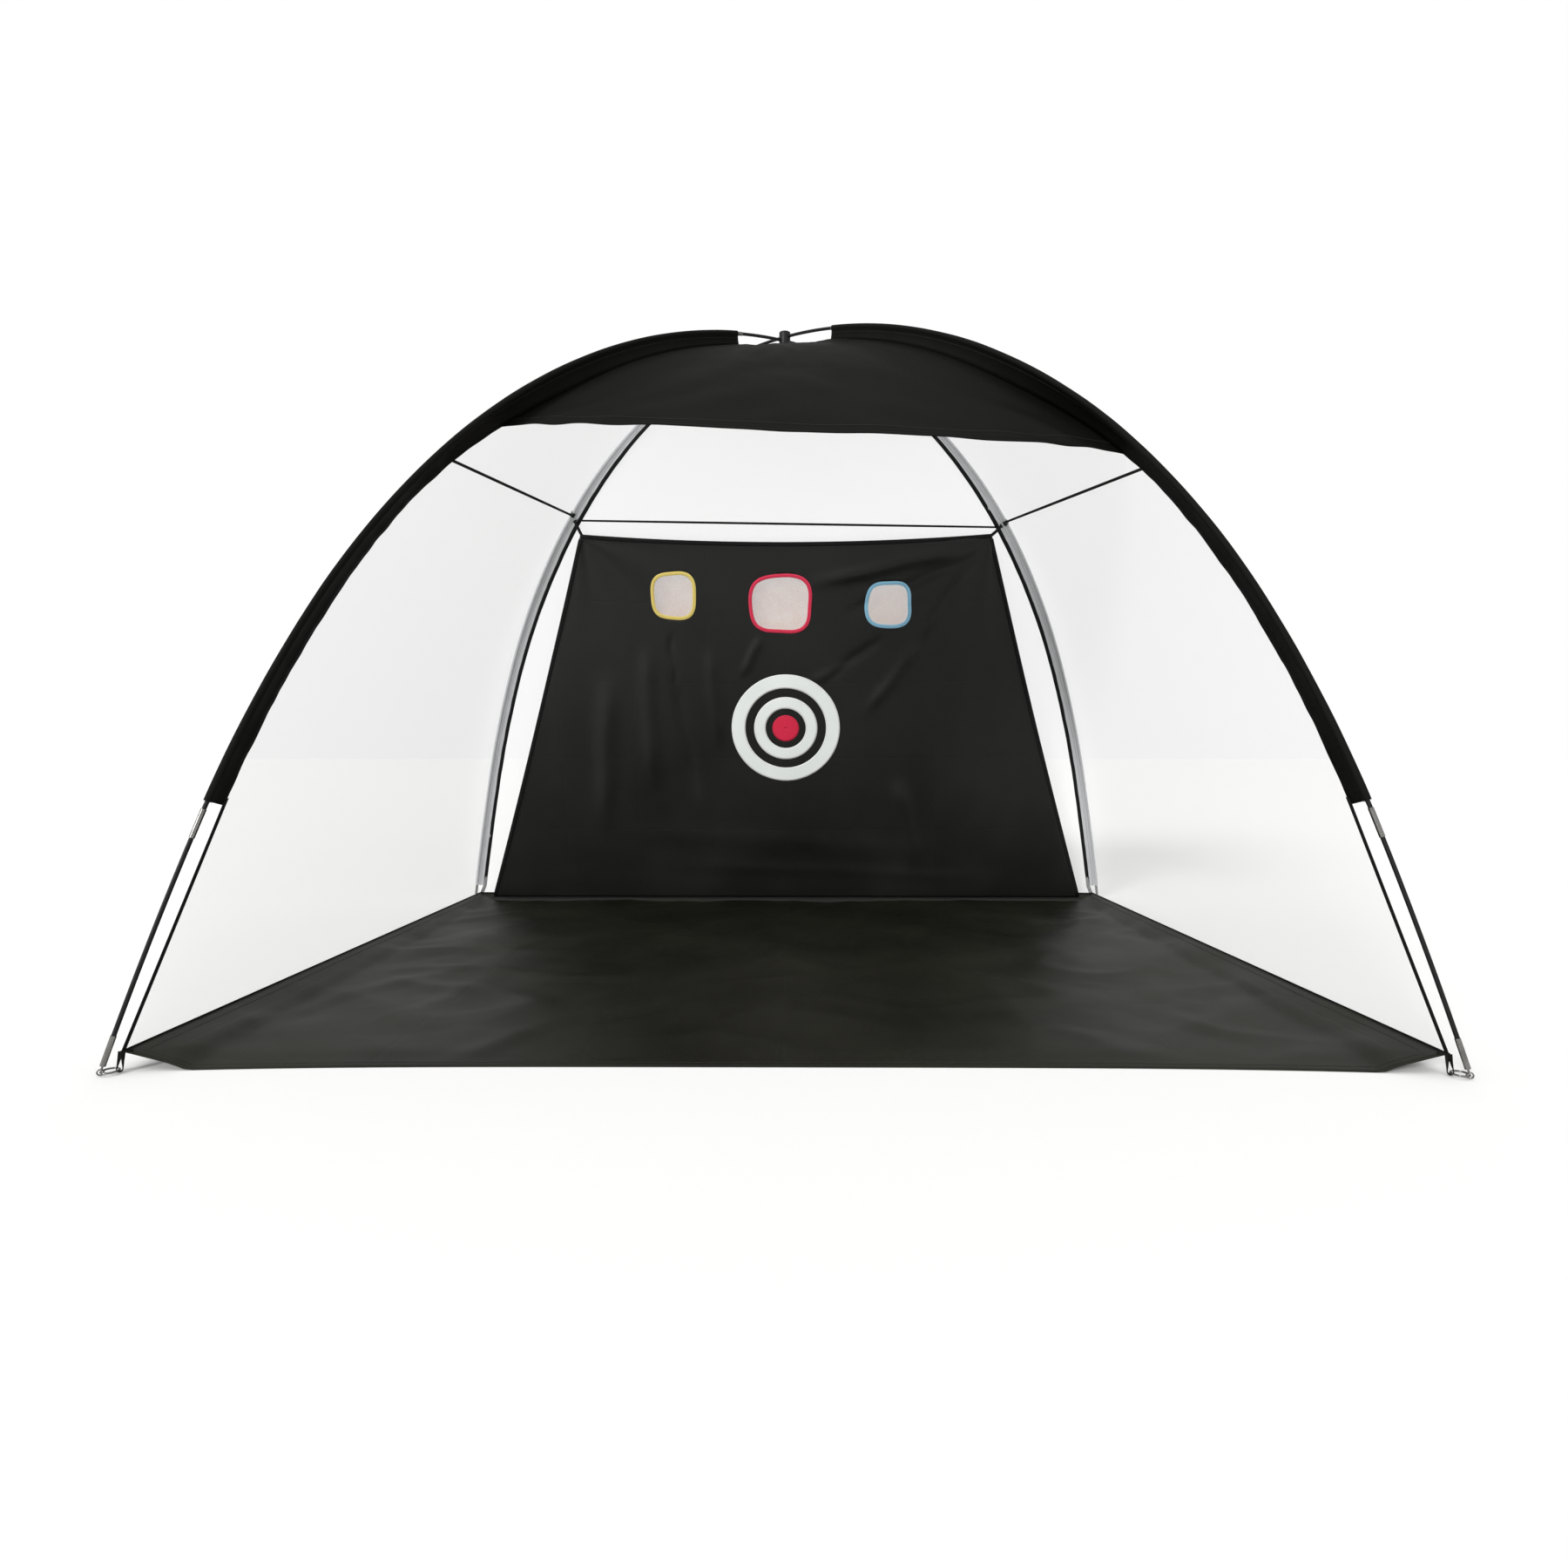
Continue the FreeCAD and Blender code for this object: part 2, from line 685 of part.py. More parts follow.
ground = new_body("ground")
sketch = new_sketch(ground)
reach = size("corner_reach")
across = HALF_WIDTH - reach * math.cos(math.radians(PLAN_ANGLE))
deep = HALF_DEPTH - reach * math.sin(math.radians(PLAN_ANGLE))
front_half, edge_y = size("sheet_front_half"), size("sheet_edge")
quarter = [(front_half, -edge_y), (across, -deep), (across, deep), (front_half, edge_y)]
add_outline(sketch, quarter + [(-x, y) for x, y in reversed(quarter)])
pad(ground, sketch, "dims.cloth_thickness")
keep(ground, "ground_sheet")

# ---- target cloth with its pockets --------------------------------------------------------------
# In the cloth's own frame X runs across, Y runs up the cloth from its hem and +Z faces the golfer.

hem = FreeCAD.Vector(0, size("target_hem_y"), size("target_hem_height"))
target_turn = FreeCAD.Rotation(FreeCAD.Vector(1, 0, 0), 90 + size("target_lean"))
target_place = FreeCAD.Placement(hem, target_turn)
POCKETS = (
    ("left", "side", size("pocket_height") + size("left_pocket_rise")),
    ("middle", "middle", size("pocket_height")),
    ("right", "side", size("pocket_height")),
)
corner = size("pocket_corner")
rim = size("rim_width")
wall = size("bag_wall")

cloth = new_body("cloth")
sketch = new_sketch(cloth)
half_hem, half_top, tall = size("target_hem_width") / 2, size("target_top_width") / 2, size("target_length")
add_outline(sketch, [(-half_hem, 0), (half_hem, 0), (half_top, tall), (-half_top, tall)])
for side, kind, y in POCKETS:
    width, height = size(f"{kind}_pocket_width"), size(f"{kind}_pocket_height")
    add_rounded(sketch, width, height, corner, size(f"{side}_pocket_x"), y)
pad(cloth, sketch, "dims.cloth_thickness", reverse=True)
cloth.Placement = target_place
keep(cloth, "target_cloth")


def front_lift(gap):
    """A placement on the golfer's side of the cloth, clear of it by a gap."""
    return target_place.multiply(FreeCAD.Placement(FreeCAD.Vector(0, 0, gap), FreeCAD.Rotation()))


for side, kind, y in POCKETS:
    x = size(f"{side}_pocket_x")
    width, height = size(f"{kind}_pocket_width"), size(f"{kind}_pocket_height")
    # the rim is sewn round the hole on the golfer's side
    body = new_body("rim")
    sketch = new_sketch(body)
    add_rounded(sketch, width + rim, height + rim, corner + rim / 2, x, y)
    add_rounded(sketch, width - rim, height - rim, corner - rim / 2, x, y)
    pad(body, sketch, "dims.rim_thickness")
    body.Placement = front_lift(0.1)
    keep(body, f"{side}_pocket_rim")
    # the net bag hangs behind the hole: a closed back and an open front
    body = new_body("bag")
    sketch = new_sketch(body)
    add_rounded(sketch, width + rim, height + rim, corner + rim / 2, x, y)
    pad(body, sketch, "dims.bag_depth", reverse=True)
    sketch = new_sketch(body)
    room = rim - 2 * wall
    add_rounded(sketch, width + room, height + room, corner + room / 2, x, y)
    hollow = body.newObject("PartDesign::Pocket", "hollow")
    hollow.Profile = sketch
    hollow.setExpression("Length", "dims.bag_depth - dims.bag_wall")
    body.Placement = front_lift(-cloth_thickness - 0.1)
    keep(body, f"{side}_pocket_bag")

rings = []
for outside, inside in (("ring_outer_radius", "ring_outer_hole"), ("ring_inner_radius", "ring_inner_hole")):
    body = new_body("target_ring")
    sketch = new_sketch(body)
    add_circle(sketch, f"dims.{outside}", y="dims.bullseye_height")
    add_circle(sketch, f"dims.{inside}", y="dims.bullseye_height")
    pad(body, sketch, "dims.applique_thickness")
    body.Placement = front_lift(0.1)
    rings.append(body)
group("target_rings", rings)

spot = new_body("spot")
sketch = new_sketch(spot)
add_circle(sketch, "dims.spot_radius", y="dims.bullseye_height")
pad(spot, sketch, "dims.applique_thickness")
spot.Placement = front_lift(0.1)
keep(spot, "target_spot")

# the ties run from the cloth's top corners towards the loops on the rear poles
ties = []
for side in (-1, 1):
    tie = doc.addObject("Part::Box", "tie")
    tie.setExpression("Length", "dims.tie_length")
    tie.setExpression("Width", "dims.tie_width")
    tie.setExpression("Height", "dims.tie_thickness")
    pitch = 40 if side > 0 else 140
    start = FreeCAD.Vector(side * (half_top - 12), tall + 2, -cloth_thickness)
    local = FreeCAD.Placement(start, FreeCAD.Rotation(UP, pitch))
    if side < 0:
        lower_corner = local.Rotation.multVec(FreeCAD.Vector(0, -size("tie_width"), 0))
        local.Base = local.Base + lower_corner
    tie.Placement = target_place.multiply(local)
    ties.append(tie)
group("target_ties", ties)

# the loops that the ties hook into, round the rear sleeves at the seam
loops = []
for edge in (REAR_LEFT, REAR_RIGHT):
    _, pole, _ = edge
    s = from_foot(edge, height_to_length(edge, seam_height(edge) + size("loop_rise")))
    k, _ = pole.index(s)
    turn = math.degrees(size("loop_width") / pole.radii[k])
    place = pole.frame(s, pole.radii[k])
    bend = f"dims.{pole.name}_bend_{k + 1}"
    loops.append(arc_tube("loop", place, bend, turn, "dims.loop_radius", "dims.loop_hollow", symmetric=True))
group("rear_pole_loops", loops)

# ---- checks and export --------------------------------------------------------------------------

doc.recompute()
for thing in doc.Objects:
    bad = [word for word in thing.State if word in ("Invalid", "Error")]
    if bad:
        raise RuntimeError(f"{thing.Name} ({thing.Label}) is {bad}")

os.makedirs("parts", exist_ok=True)
for thing in sub_parts:
    shape = thing.Shape
    if shape.isNull() or not shape.isValid() or not shape.Solids:
        raise RuntimeError(f"{thing.Label} has no valid solid")
    shape.exportStep(f"parts/{thing.Label}.step")
    print(thing.Label, len(shape.Solids), round(shape.Volume))
print(len(sub_parts), "sub-parts")
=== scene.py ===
"""The looks of a dome-shaped golf chipping net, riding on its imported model.

Every size is in metres in the model's own frame: the origin is on the ground in the middle of the
four feet, X runs across, the open front faces -Y and +Z is up.
"""

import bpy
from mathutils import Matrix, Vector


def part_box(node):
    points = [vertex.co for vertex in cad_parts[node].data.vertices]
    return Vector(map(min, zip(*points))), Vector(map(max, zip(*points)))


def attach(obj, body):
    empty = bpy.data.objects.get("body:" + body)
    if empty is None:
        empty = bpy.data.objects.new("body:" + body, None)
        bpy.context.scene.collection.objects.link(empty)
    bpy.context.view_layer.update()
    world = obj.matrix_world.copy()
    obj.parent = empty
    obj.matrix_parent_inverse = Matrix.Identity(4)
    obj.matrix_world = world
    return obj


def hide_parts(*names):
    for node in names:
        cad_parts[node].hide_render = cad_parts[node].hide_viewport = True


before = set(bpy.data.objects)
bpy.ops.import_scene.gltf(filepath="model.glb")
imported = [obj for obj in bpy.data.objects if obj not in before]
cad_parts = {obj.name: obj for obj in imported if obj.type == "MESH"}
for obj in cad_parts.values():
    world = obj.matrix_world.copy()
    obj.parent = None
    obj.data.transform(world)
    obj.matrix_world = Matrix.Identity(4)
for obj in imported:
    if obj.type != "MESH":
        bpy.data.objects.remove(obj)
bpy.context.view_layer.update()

import logging
import math
from dataclasses import dataclass, field
from enum import Enum
from typing import Any, Callable, Iterable, Sequence

import bmesh
import bpy
from mathutils import Quaternion, Vector, noise

Piece = bpy.types.Object
Node = bpy.types.Node
Tree = bpy.types.NodeTree
Socket = bpy.types.NodeSocket
LOG = logging.getLogger("chipping_net")
UP = Vector((0.0, 0.0, 1.0))
FRAME_BODY = "frame_and_net"
TARGET_BODY = "target"
MM = 0.001
CLOTH_UV = "metres"
HALVINGS = 40


class Colour(Enum):
    """The object's colours, as sRGB hex values."""

    BLACK_CLOTH = "#121211"
    BLACK_CLOTH_FADED = "#1D1D1A"
    BLACK_TAPE = "#121212"
    BLACK_TAPE_RIB = "#1E1E1E"
    BLACK_RESIN = "#0E0E0F"
    WHITE_MESH = "#E8E8E8"
    WHITE_MESH_THREAD = "#F0F0F0"
    GREY_SLEEVE = "#B0B1B3"
    GREY_SLEEVE_THREAD = "#C6C7C9"
    PALE_MESH = "#CFB2A4"
    YELLOW_TAPE = "#DCC66A"
    RED_TAPE = "#D4234B"
    SHEET = "#0F0F0A"
    SHEET_FADED = "#232319"
    CANOPY = "#0D0D0C"
    CANOPY_FADED = "#161614"
    BLUE_TAPE = "#86BCD6"
    TARGET_WHITE = "#F0F5F2"
    TARGET_WHITE_FADED = "#E4E9E6"
    TARGET_RED = "#D6133B"
    STEEL = "#7B7A77"
    STEEL_DULL = "#454340"
    STUDIO_WHITE = "#FFFFFF"
    PALE_FLOOR = "#EAEAE9"


class Side(Enum):
    """Which half of the net a piece belongs to, as the sign of X."""

    LEFT = -1
    RIGHT = 1


def linear(colour: Colour) -> tuple[float, float, float, float]:
    """Turn an sRGB hex value to the linear colour that shaders take.

    Args:
        colour: The named colour.

    Returns:
        Red, green, blue and an alpha of one.
    """
    digits = colour.value.lstrip("#")
    parts = [int(digits[n : n + 2], 16) / 255 for n in (0, 2, 4)]
    out = [p / 12.92 if p <= 0.04045 else ((p + 0.055) / 1.055) ** 2.4 for p in parts]
    return out[0], out[1], out[2], 1.0


def add(tree: Tree, kind: str, inputs: dict | None = None, **settings: Any) -> Node:
    """Add one node with its settings, values and links.

    Args:
        tree: The tree to add to.
        kind: The node's type name.
        inputs: Socket name or number to a value, or to an output socket to link from.
        settings: The node's own properties.

    Returns:
        The new node.
    """
    made = tree.nodes.new(kind)
    for name, value in settings.items():
        setattr(made, name, value)
    for key, value in (inputs or {}).items():
        if isinstance(value, Socket):
            tree.links.new(value, made.inputs[key])
        else:
            made.inputs[key].default_value = value
    return made


# ---- finishes ------------------------------------------------------------------------------------


@dataclass(frozen=True)
class ShaderTree:
    """A material's tree and shader, with short ways to add the nodes that vary the surface."""

    tree: Tree
    shader: Node

    def maths(self, operation: str, *values: Any) -> Socket:
        """Add a sum of sockets or values and return its result."""
        return add(self.tree, "ShaderNodeMath", dict(enumerate(values)), operation=operation).outputs[0]

    def ranged(self, field_in: Socket, *ends: float, **settings: Any) -> Socket:
        """Map a field from one range (low, high) to another (low, high), by default 0 to 1."""
        inputs = {0: field_in, **{n + 1: end for n, end in enumerate(ends)}}
        return add(self.tree, "ShaderNodeMapRange", inputs, **settings).outputs[0]

    def clouds(self, scale: float, detail: float = 4.0) -> Socket:
        """Make soft cloudy noise in object space, with a number of clouds to a metre."""
        place = add(self.tree, "ShaderNodeTexCoord").outputs["Object"]
        inputs = {"Vector": place, "Scale": scale, "Detail": detail}
        return add(self.tree, "ShaderNodeTexNoise", inputs).outputs[0]

    def lattice(self, across: float, along: float) -> Socket:
        """Make crossing threads on the cloth: one at the middle of each crossing, zero between.

        Args:
            across: The spacing of the threads across the cloth.
            along: Their spacing along it.

        Returns:
            The field's socket.
        """
        place = add(self.tree, "ShaderNodeUVMap", uv_map=CLOTH_UV).outputs[0]
        waves = (math.pi / across, math.pi / along, 0.0)
        scaled = add(self.tree, "ShaderNodeVectorMath", {0: place, 1: waves}, operation="MULTIPLY")
        waved = add(self.tree, "ShaderNodeVectorMath", {0: scaled.outputs[0]}, operation="SINE")
        ways = add(self.tree, "ShaderNodeSeparateXYZ", {0: waved.outputs[0]})
        return self.maths("ABSOLUTE", self.maths("MULTIPLY", ways.outputs[0], ways.outputs[1]))

    def colour(self, share: Socket, low: Colour, high: Colour) -> None:
        """Colour the surface by a share of two colours."""
        inputs = {"Factor": share, 6: linear(low), 7: linear(high)}
        mixed = add(self.tree, "ShaderNodeMix", inputs, data_type="RGBA").outputs[2]
        self.tree.links.new(mixed, self.shader.inputs["Base Color"])

    def gloss(self, field_in: Socket, low: float, high: float) -> None:
        """Vary the roughness between two values by a cloudy field."""
        self.tree.links.new(self.ranged(field_in, 0.3, 0.7, low, high), self.shader.inputs["Roughness"])

    def raised(self, height: Socket, depth: float, strength: float,
               under: Socket | None = None) -> Socket:
        """Raise a field as fine relief, on top of the relief under it if there is any.

        Args:
            height: The field.
            depth: The relief's depth in metres.
            strength: The share of it that shows.
            under: The normal that the relief is laid on.

        Returns:
            The new normal.
        """
        inputs = {"Height": height, "Distance": depth, "Strength": strength}
        if under:
            inputs["Normal"] = under
        return add(self.tree, "ShaderNodeBump", inputs).outputs[0]

    def relief(self, *raised: Any) -> None:
        """Give the surface a relief, made as in raised."""
        self.tree.links.new(self.raised(*raised), self.shader.inputs["Normal"])


@dataclass(frozen=True)
class Finish:
    """A surface finish: its name, its shader's constants and the nodes that vary it."""

    name: str
    roughness: float = 0.6
    metallic: float = 0.0
    sheen: float = 0.0
    alpha: float = 1.0
    specular: float = 0.5

    def material(self) -> bpy.types.Material:
        """Return this finish's material, made the first time it is asked for."""
        made = bpy.data.materials.get(self.name)
        if made:
            return made
        made = bpy.data.materials.new(self.name)
        made.use_nodes = True
        shader = made.node_tree.nodes["Principled BSDF"]
        constants = {
            "Roughness": self.roughness,
            "Metallic": self.metallic,
            "IOR": 1.5,
            "Specular IOR Level": self.specular,
            "Sheen Weight": self.sheen,
            "Sheen Roughness": 0.45,
            "Alpha": self.alpha,
        }
        for name, value in constants.items():
            shader.inputs[name].default_value = value
        self.vary(ShaderTree(made.node_tree, shader))
        return made

    def vary(self, to: ShaderTree) -> None:
        """Link the nodes that give the surface its colour, roughness and relief."""
        raise NotImplementedError


@dataclass(frozen=True)
class WovenCloth(Finish):
    """Plain-woven polyester taffeta, coated and calendered: dark, slightly silky, soft folds.

    Its thread spacing is about 0.3 mm, too fine to show, so the weave is drawn at 1.6 mm. Faint
    square creases stay from the way it is folded into its bag.
    """

    base: Colour = Colour.BLACK_CLOTH
    faded: Colour = Colour.BLACK_CLOTH_FADED
    thread: float = 1.6 * MM
    crease_spacing: float = 0.34
    crease_width: float = 0.035
    crease_depth: float = 0.5 * MM
    weave_depth: float = 0.25 * MM

    def vary(self, to: ShaderTree) -> None:
        """Link cloudy fading, the weave and the folding creases."""
        clouds = to.clouds(2.3, 6.0)
        weave = to.lattice(self.thread, self.thread)
        shade = to.maths("MULTIPLY", weave, 0.18)
        to.colour(to.maths("MULTIPLY_ADD", to.ranged(clouds, 0.35, 0.72), 0.6, shade), self.base, self.faded)
        creases = to.lattice(self.crease_spacing, self.crease_spacing)
        pressed = to.ranged(creases, 0.0, self.crease_width, interpolation_type="SMOOTHSTEP")
        to.relief(weave, self.weave_depth, 0.5, to.raised(pressed, self.crease_depth, 0.5))
        to.gloss(clouds, self.roughness - 0.07, self.roughness + 0.09)


@dataclass(frozen=True)
class Netting(Finish):
    """Warp-knitted polyester mesh: a light veil that what is behind it shows through.

    Its holes are about 2 mm, too fine to show one by one, so the whole veil lets the same share of
    light through and its thread pattern is drawn at 7 mm in colour and relief.
    """

    base: Colour = Colour.WHITE_MESH
    thread: Colour = Colour.WHITE_MESH_THREAD
    pitch: float = 7.0 * MM

    def vary(self, to: ShaderTree) -> None:
        """Link the thread pattern and a slight unevenness."""
        threads = to.lattice(self.pitch, self.pitch * 1.15)
        uneven = to.maths("MULTIPLY", to.clouds(1.7), 0.3)
        to.colour(to.maths("SUBTRACT", to.ranged(threads, 0.15, 0.55), uneven), self.thread, self.base)
        to.relief(threads, 0.4 * MM, 0.4)


@dataclass(frozen=True)
class Webbing(Finish):
    """Woven polyester tape: fine ribs across it and a matte face."""

    base: Colour = Colour.BLACK_TAPE
    rib: Colour = Colour.BLACK_TAPE_RIB
    rib_pitch: float = 1.8 * MM

    def vary(self, to: ShaderTree) -> None:
        """Link the ribs and a little wear."""
        ribs = to.lattice(self.rib_pitch * 1.4, self.rib_pitch)
        to.colour(to.maths("MULTIPLY", ribs, to.clouds(30.0)), self.base, self.rib)
        to.relief(ribs, 0.5 * MM, 0.7)


@dataclass(frozen=True)
class ToughSurface(Finish):
    """A surface in object space: fibreglass, plated steel, moulded plastic, cord or thread."""

    base: Colour = Colour.BLACK_RESIN
    worn: Colour = Colour.BLACK_TAPE_RIB
    grain: float = 220.0
    grain_depth: float = 0.05 * MM
    wear: float = 0.3

    def vary(self, to: ShaderTree) -> None:
        """Link fine grain, rubbed patches and an uneven gloss."""
        fine = to.clouds(self.grain, 3.0)
        to.colour(to.ranged(to.clouds(14.0, 5.0), 0.45, 0.8, 0.0, self.wear), self.base, self.worn)
        to.gloss(fine, max(self.roughness - 0.08, 0.05), self.roughness + 0.1)
        to.relief(fine, self.grain_depth, 0.5)


def twill(name: str, roughness: float, base: Colour, faded: Colour) -> WovenCloth:
    """A plain matte twill for what is sewn on top of the target, with hardly any creases."""
    return WovenCloth(
        name, roughness=roughness, base=base, faded=faded, thread=2.2 * MM, crease_depth=0.1 * MM,
    )


def binding(colour_word: str, base: Colour, rib: Colour) -> Webbing:
    """A slightly furry coloured tape, bound round a pocket's mouth."""
    name = f"woven_polyester_tape_{colour_word}"
    return Webbing(name, roughness=0.7, sheen=0.2, base=base, rib=rib)


# Coated taffeta keeps a soft silky light on its folds.
CANOPY_CLOTH = WovenCloth(
    "polyester_taffeta_black", roughness=0.55, specular=0.045, base=Colour.CANOPY, faded=Colour.CANOPY_FADED,
)
TARGET_CLOTH = WovenCloth("polyester_taffeta_target", roughness=0.48, specular=0.24)
# The ground sheet is the same cloth with a heavier coating, so it is a little glossier.
SHEET_CLOTH = WovenCloth(
    "coated_polyester_ground_sheet", roughness=0.46, specular=0.17, base=Colour.SHEET,
    faded=Colour.SHEET_FADED, crease_spacing=0.47,
)
# The bullseye is matte, so it stays even in colour where the cloth round it shines.
WHITE_PATCH = twill("cotton_twill_white", 0.8, Colour.TARGET_WHITE, Colour.TARGET_WHITE_FADED)
RED_PATCH = twill("cotton_twill_red", 0.75, Colour.TARGET_RED, Colour.RED_TAPE)
# The netting is a pale even veil, and the sleeve's mesh is close enough to grey the pole in it.
WHITE_NET = Netting("polyester_mesh_white", roughness=0.85, alpha=0.24)
GREY_SLEEVE = Netting(
    "polyester_mesh_sleeve", roughness=0.8, alpha=0.72, base=Colour.GREY_SLEEVE,
    thread=Colour.GREY_SLEEVE_THREAD, pitch=4.0 * MM,
)
# The tapes draw thin dark or bright lines with no shine.
BLACK_TAPE = Webbing("woven_polyester_tape_black", roughness=0.75, specular=0.12)
YELLOW_TAPE = binding("yellow", Colour.YELLOW_TAPE, Colour.YELLOW_TAPE)
RED_TAPE = binding("red", Colour.RED_TAPE, Colour.TARGET_RED)
BLUE_TAPE = binding("blue", Colour.BLUE_TAPE, Colour.BLUE_TAPE)
# Thin threads: the pockets' are pale and soft, the sewing thread is a shade lighter than the cloth.
PALE_THREAD = ToughSurface(
    "knitted_nylon_thread_pale", roughness=0.7, base=Colour.PALE_MESH, worn=Colour.TARGET_WHITE, grain=500.0,
)
SEWING_THREAD = ToughSurface(
    "polyester_sewing_thread", roughness=0.6, base=Colour.BLACK_TAPE_RIB, worn=Colour.STEEL_DULL,
)
# Pultruded glass-fibre rod with a black gel coat: hard and smooth, dulled where hands hold it.
FIBREGLASS = ToughSurface("pultruded_fibreglass_black", roughness=0.42, specular=0.2, wear=0.12, grain=140.0)
# Zinc-plated steel, tumbled: bright but softly blurred, with duller patches.
PLATED_STEEL = ToughSurface(
    "zinc_plated_steel", roughness=0.26, metallic=1.0, base=Colour.STEEL, worn=Colour.STEEL_DULL, wear=0.8,
    grain=320.0, grain_depth=0.03 * MM,
)
# The clip is moulded with a fine grain, and the cord's braid blurs its light.
CLIP_PLASTIC = ToughSurface(
    "moulded_nylon_black", roughness=0.5, specular=0.25, wear=0.15, grain=400.0,
)
ELASTIC_CORD = ToughSurface(
    "braided_elastic_cord_black", roughness=0.8, grain=700.0, grain_depth=0.3 * MM,
)
# The loops on the rear poles keep their plain solids, so their weave is a grain in object space.
STRAP_WEBBING = ToughSurface(
    "woven_polypropylene_webbing", roughness=0.75, base=Colour.BLACK_TAPE, grain=900.0, grain_depth=0.4 * MM,
)


# ---- meshes --------------------------------------------------------------------------------------


def new_object(name: str, points: Sequence[Vector], faces: Sequence[Sequence[int]],
               edges: Sequence[Sequence[int]] = ()) -> Piece:
    """Make an object at the origin whose place is in its mesh.

    Args:
        name: The piece's name.
        points: Its vertices.
        faces: Its faces, as vertex numbers.
        edges: Loose edges, for a path.

    Returns:
        The linked object.
    """
    mesh = bpy.data.meshes.new(name)
    mesh.from_pydata([tuple(p) for p in points], [tuple(e) for e in edges], [tuple(f) for f in faces])
    mesh.update()
    made = bpy.data.objects.new(name, mesh)
    bpy.context.scene.collection.objects.link(made)
    return made


def lay_uv(made: Piece, place: Sequence[tuple[float, float]]) -> None:
    """Give every vertex its place on the cloth, in metres, as the UV map that the patterns read."""
    layer = made.data.uv_layers.new(name=CLOTH_UV)
    for loop in made.data.loops:
        layer.data[loop.index].uv = place[loop.vertex_index]


def running_lengths(path: Sequence[Vector]) -> list[float]:
    """The length walked along a path at each of its points."""
    walked = [0.0]
    for a, b in zip(path, path[1:]):
        walked.append(walked[-1] + (b - a).length)
    return walked


def quads(rows: int, columns: int, wide: int, count: int | None = None) -> list[tuple[int, ...]]:
    """The four-sided faces between rows of vertices.

    Args:
        rows: How many rows of faces there are.
        columns: How many faces there are in a row.
        wide: How many vertices there are in a row; the last joins the first if columns equals it.
        count: How many rows of vertices there are, if the last row joins the first.

    Returns:
        The faces, as vertex numbers.
    """
    faces = []
    for r in range(rows):
        here, above = r * wide, (r + 1) % (count or rows + 1) * wide
        for c in range(columns):
            d = (c + 1) % wide
            faces.append((here + c, here + d, above + d, above + c))
    return faces


@dataclass(frozen=True)
class Grid:
    """A sheet's net of columns and rows, laid through a function of (across, up) from 0 to 1."""

    name: str
    point: Callable[[float, float], Vector]
    columns: int
    rows: int
    closed: bool = False
    inside: Vector = field(default_factory=lambda: Vector((0.0, 0.0, 0.6)))

    def build(self) -> Piece:
        """Make the sheet with its faces turned away from the inside point and its UV in metres."""
        wide = self.columns if self.closed else self.columns + 1
        grid = []
        for r in range(self.rows + 1):
            grid.append([self.point(c / self.columns, r / self.rows) for c in range(wide)])
        points = [p for row in grid for p in row]
        faces = quads(self.rows, self.columns, wide)
        middle = faces[len(faces) // 2 + self.columns // 2]
        a, b, _, d = (points[n] for n in middle)
        if (b - a).cross(d - a).dot(a - self.inside) < 0:
            faces = [tuple(reversed(f)) for f in faces]
        place = []
        for row, climb in zip(grid, running_lengths([row[wide // 2] for row in grid])):
            along = running_lengths(row)
            place += [(x - along[-1] / 2, climb) for x in along]
        made = new_object(self.name, points, faces)
        lay_uv(made, place)
        return made


@dataclass(frozen=True)
class Station:
    """One place along a swept piece: its centre, the way across it and the way out of it."""

    centre: Vector
    across: Vector
    out: Vector


def sweep(name: str, stations: Sequence[Station], profile: Sequence[tuple[float, float]], ring: bool = False,
          capped: bool = True) -> Piece:
    """Carry a closed profile along a row of stations.

    Args:
        name: The piece's name.
        stations: The places along the piece.
        profile: The section's corners as (across, out), going round from across towards out.
        ring: Whether the last station joins the first.
        capped: Whether the two ends are closed.

    Returns:
        The swept object, its faces outwards and its UV in metres.
    """
    count = len(profile)
    points = [s.centre + s.across * a + s.out * b for s in stations for a, b in profile]
    faces = quads(len(stations) if ring else len(stations) - 1, count, count, len(stations))
    first, second = stations[0], stations[1]
    start, end = tuple(reversed(range(count))), tuple(range(count))
    if first.across.cross(first.out).dot(second.centre - first.centre) < 0:
        faces = [tuple(reversed(f)) for f in faces]
        start, end = end, start
    if capped and not ring:
        last = (len(stations) - 1) * count
        faces += [start, tuple(last + c for c in end)]
    round_length = [0.0]
    for (a, b), (c, d) in zip(profile, profile[1:]):
        round_length.append(round_length[-1] + math.hypot(c - a, d - b))
    place = []
    for along in running_lengths([station.centre for station in stations]):
        place += [(x, along) for x in round_length]
    made = new_object(name, points, faces)
    lay_uv(made, place)
    return made


def tape_profile(width: float, thickness: float, crown: float = 0.35) -> list[tuple[float, float]]:
    """The section of a flat tape with round edges and a slightly crowned face."""
    half, flat = width / 2, thickness / 2
    shoulder = half - flat
    corners = [(half, 0.0), (shoulder, flat), (0.0, flat * (1 + crown)), (-shoulder, flat)]
    corners += [(-half, 0.0), (-shoulder, -flat), (0.0, -flat * (1 + crown)), (shoulder, -flat)]
    return corners


def even_turns(count: int) -> list[float]:
    """Evenly spaced angles once round a circle, from zero."""
    return [2 * math.pi * n / count for n in range(count)]


def circle_profile(radius: float, count: int = 12) -> list[tuple[float, float]]:
    """The section of a round bar."""
    return [(radius * math.cos(t), radius * math.sin(t)) for t in even_turns(count)]


def smooth(share: float) -> float:
    """Ease a share from 0 to 1 with level ends."""
    share = min(max(share, 0.0), 1.0)
    return share * share * (3 - 2 * share)


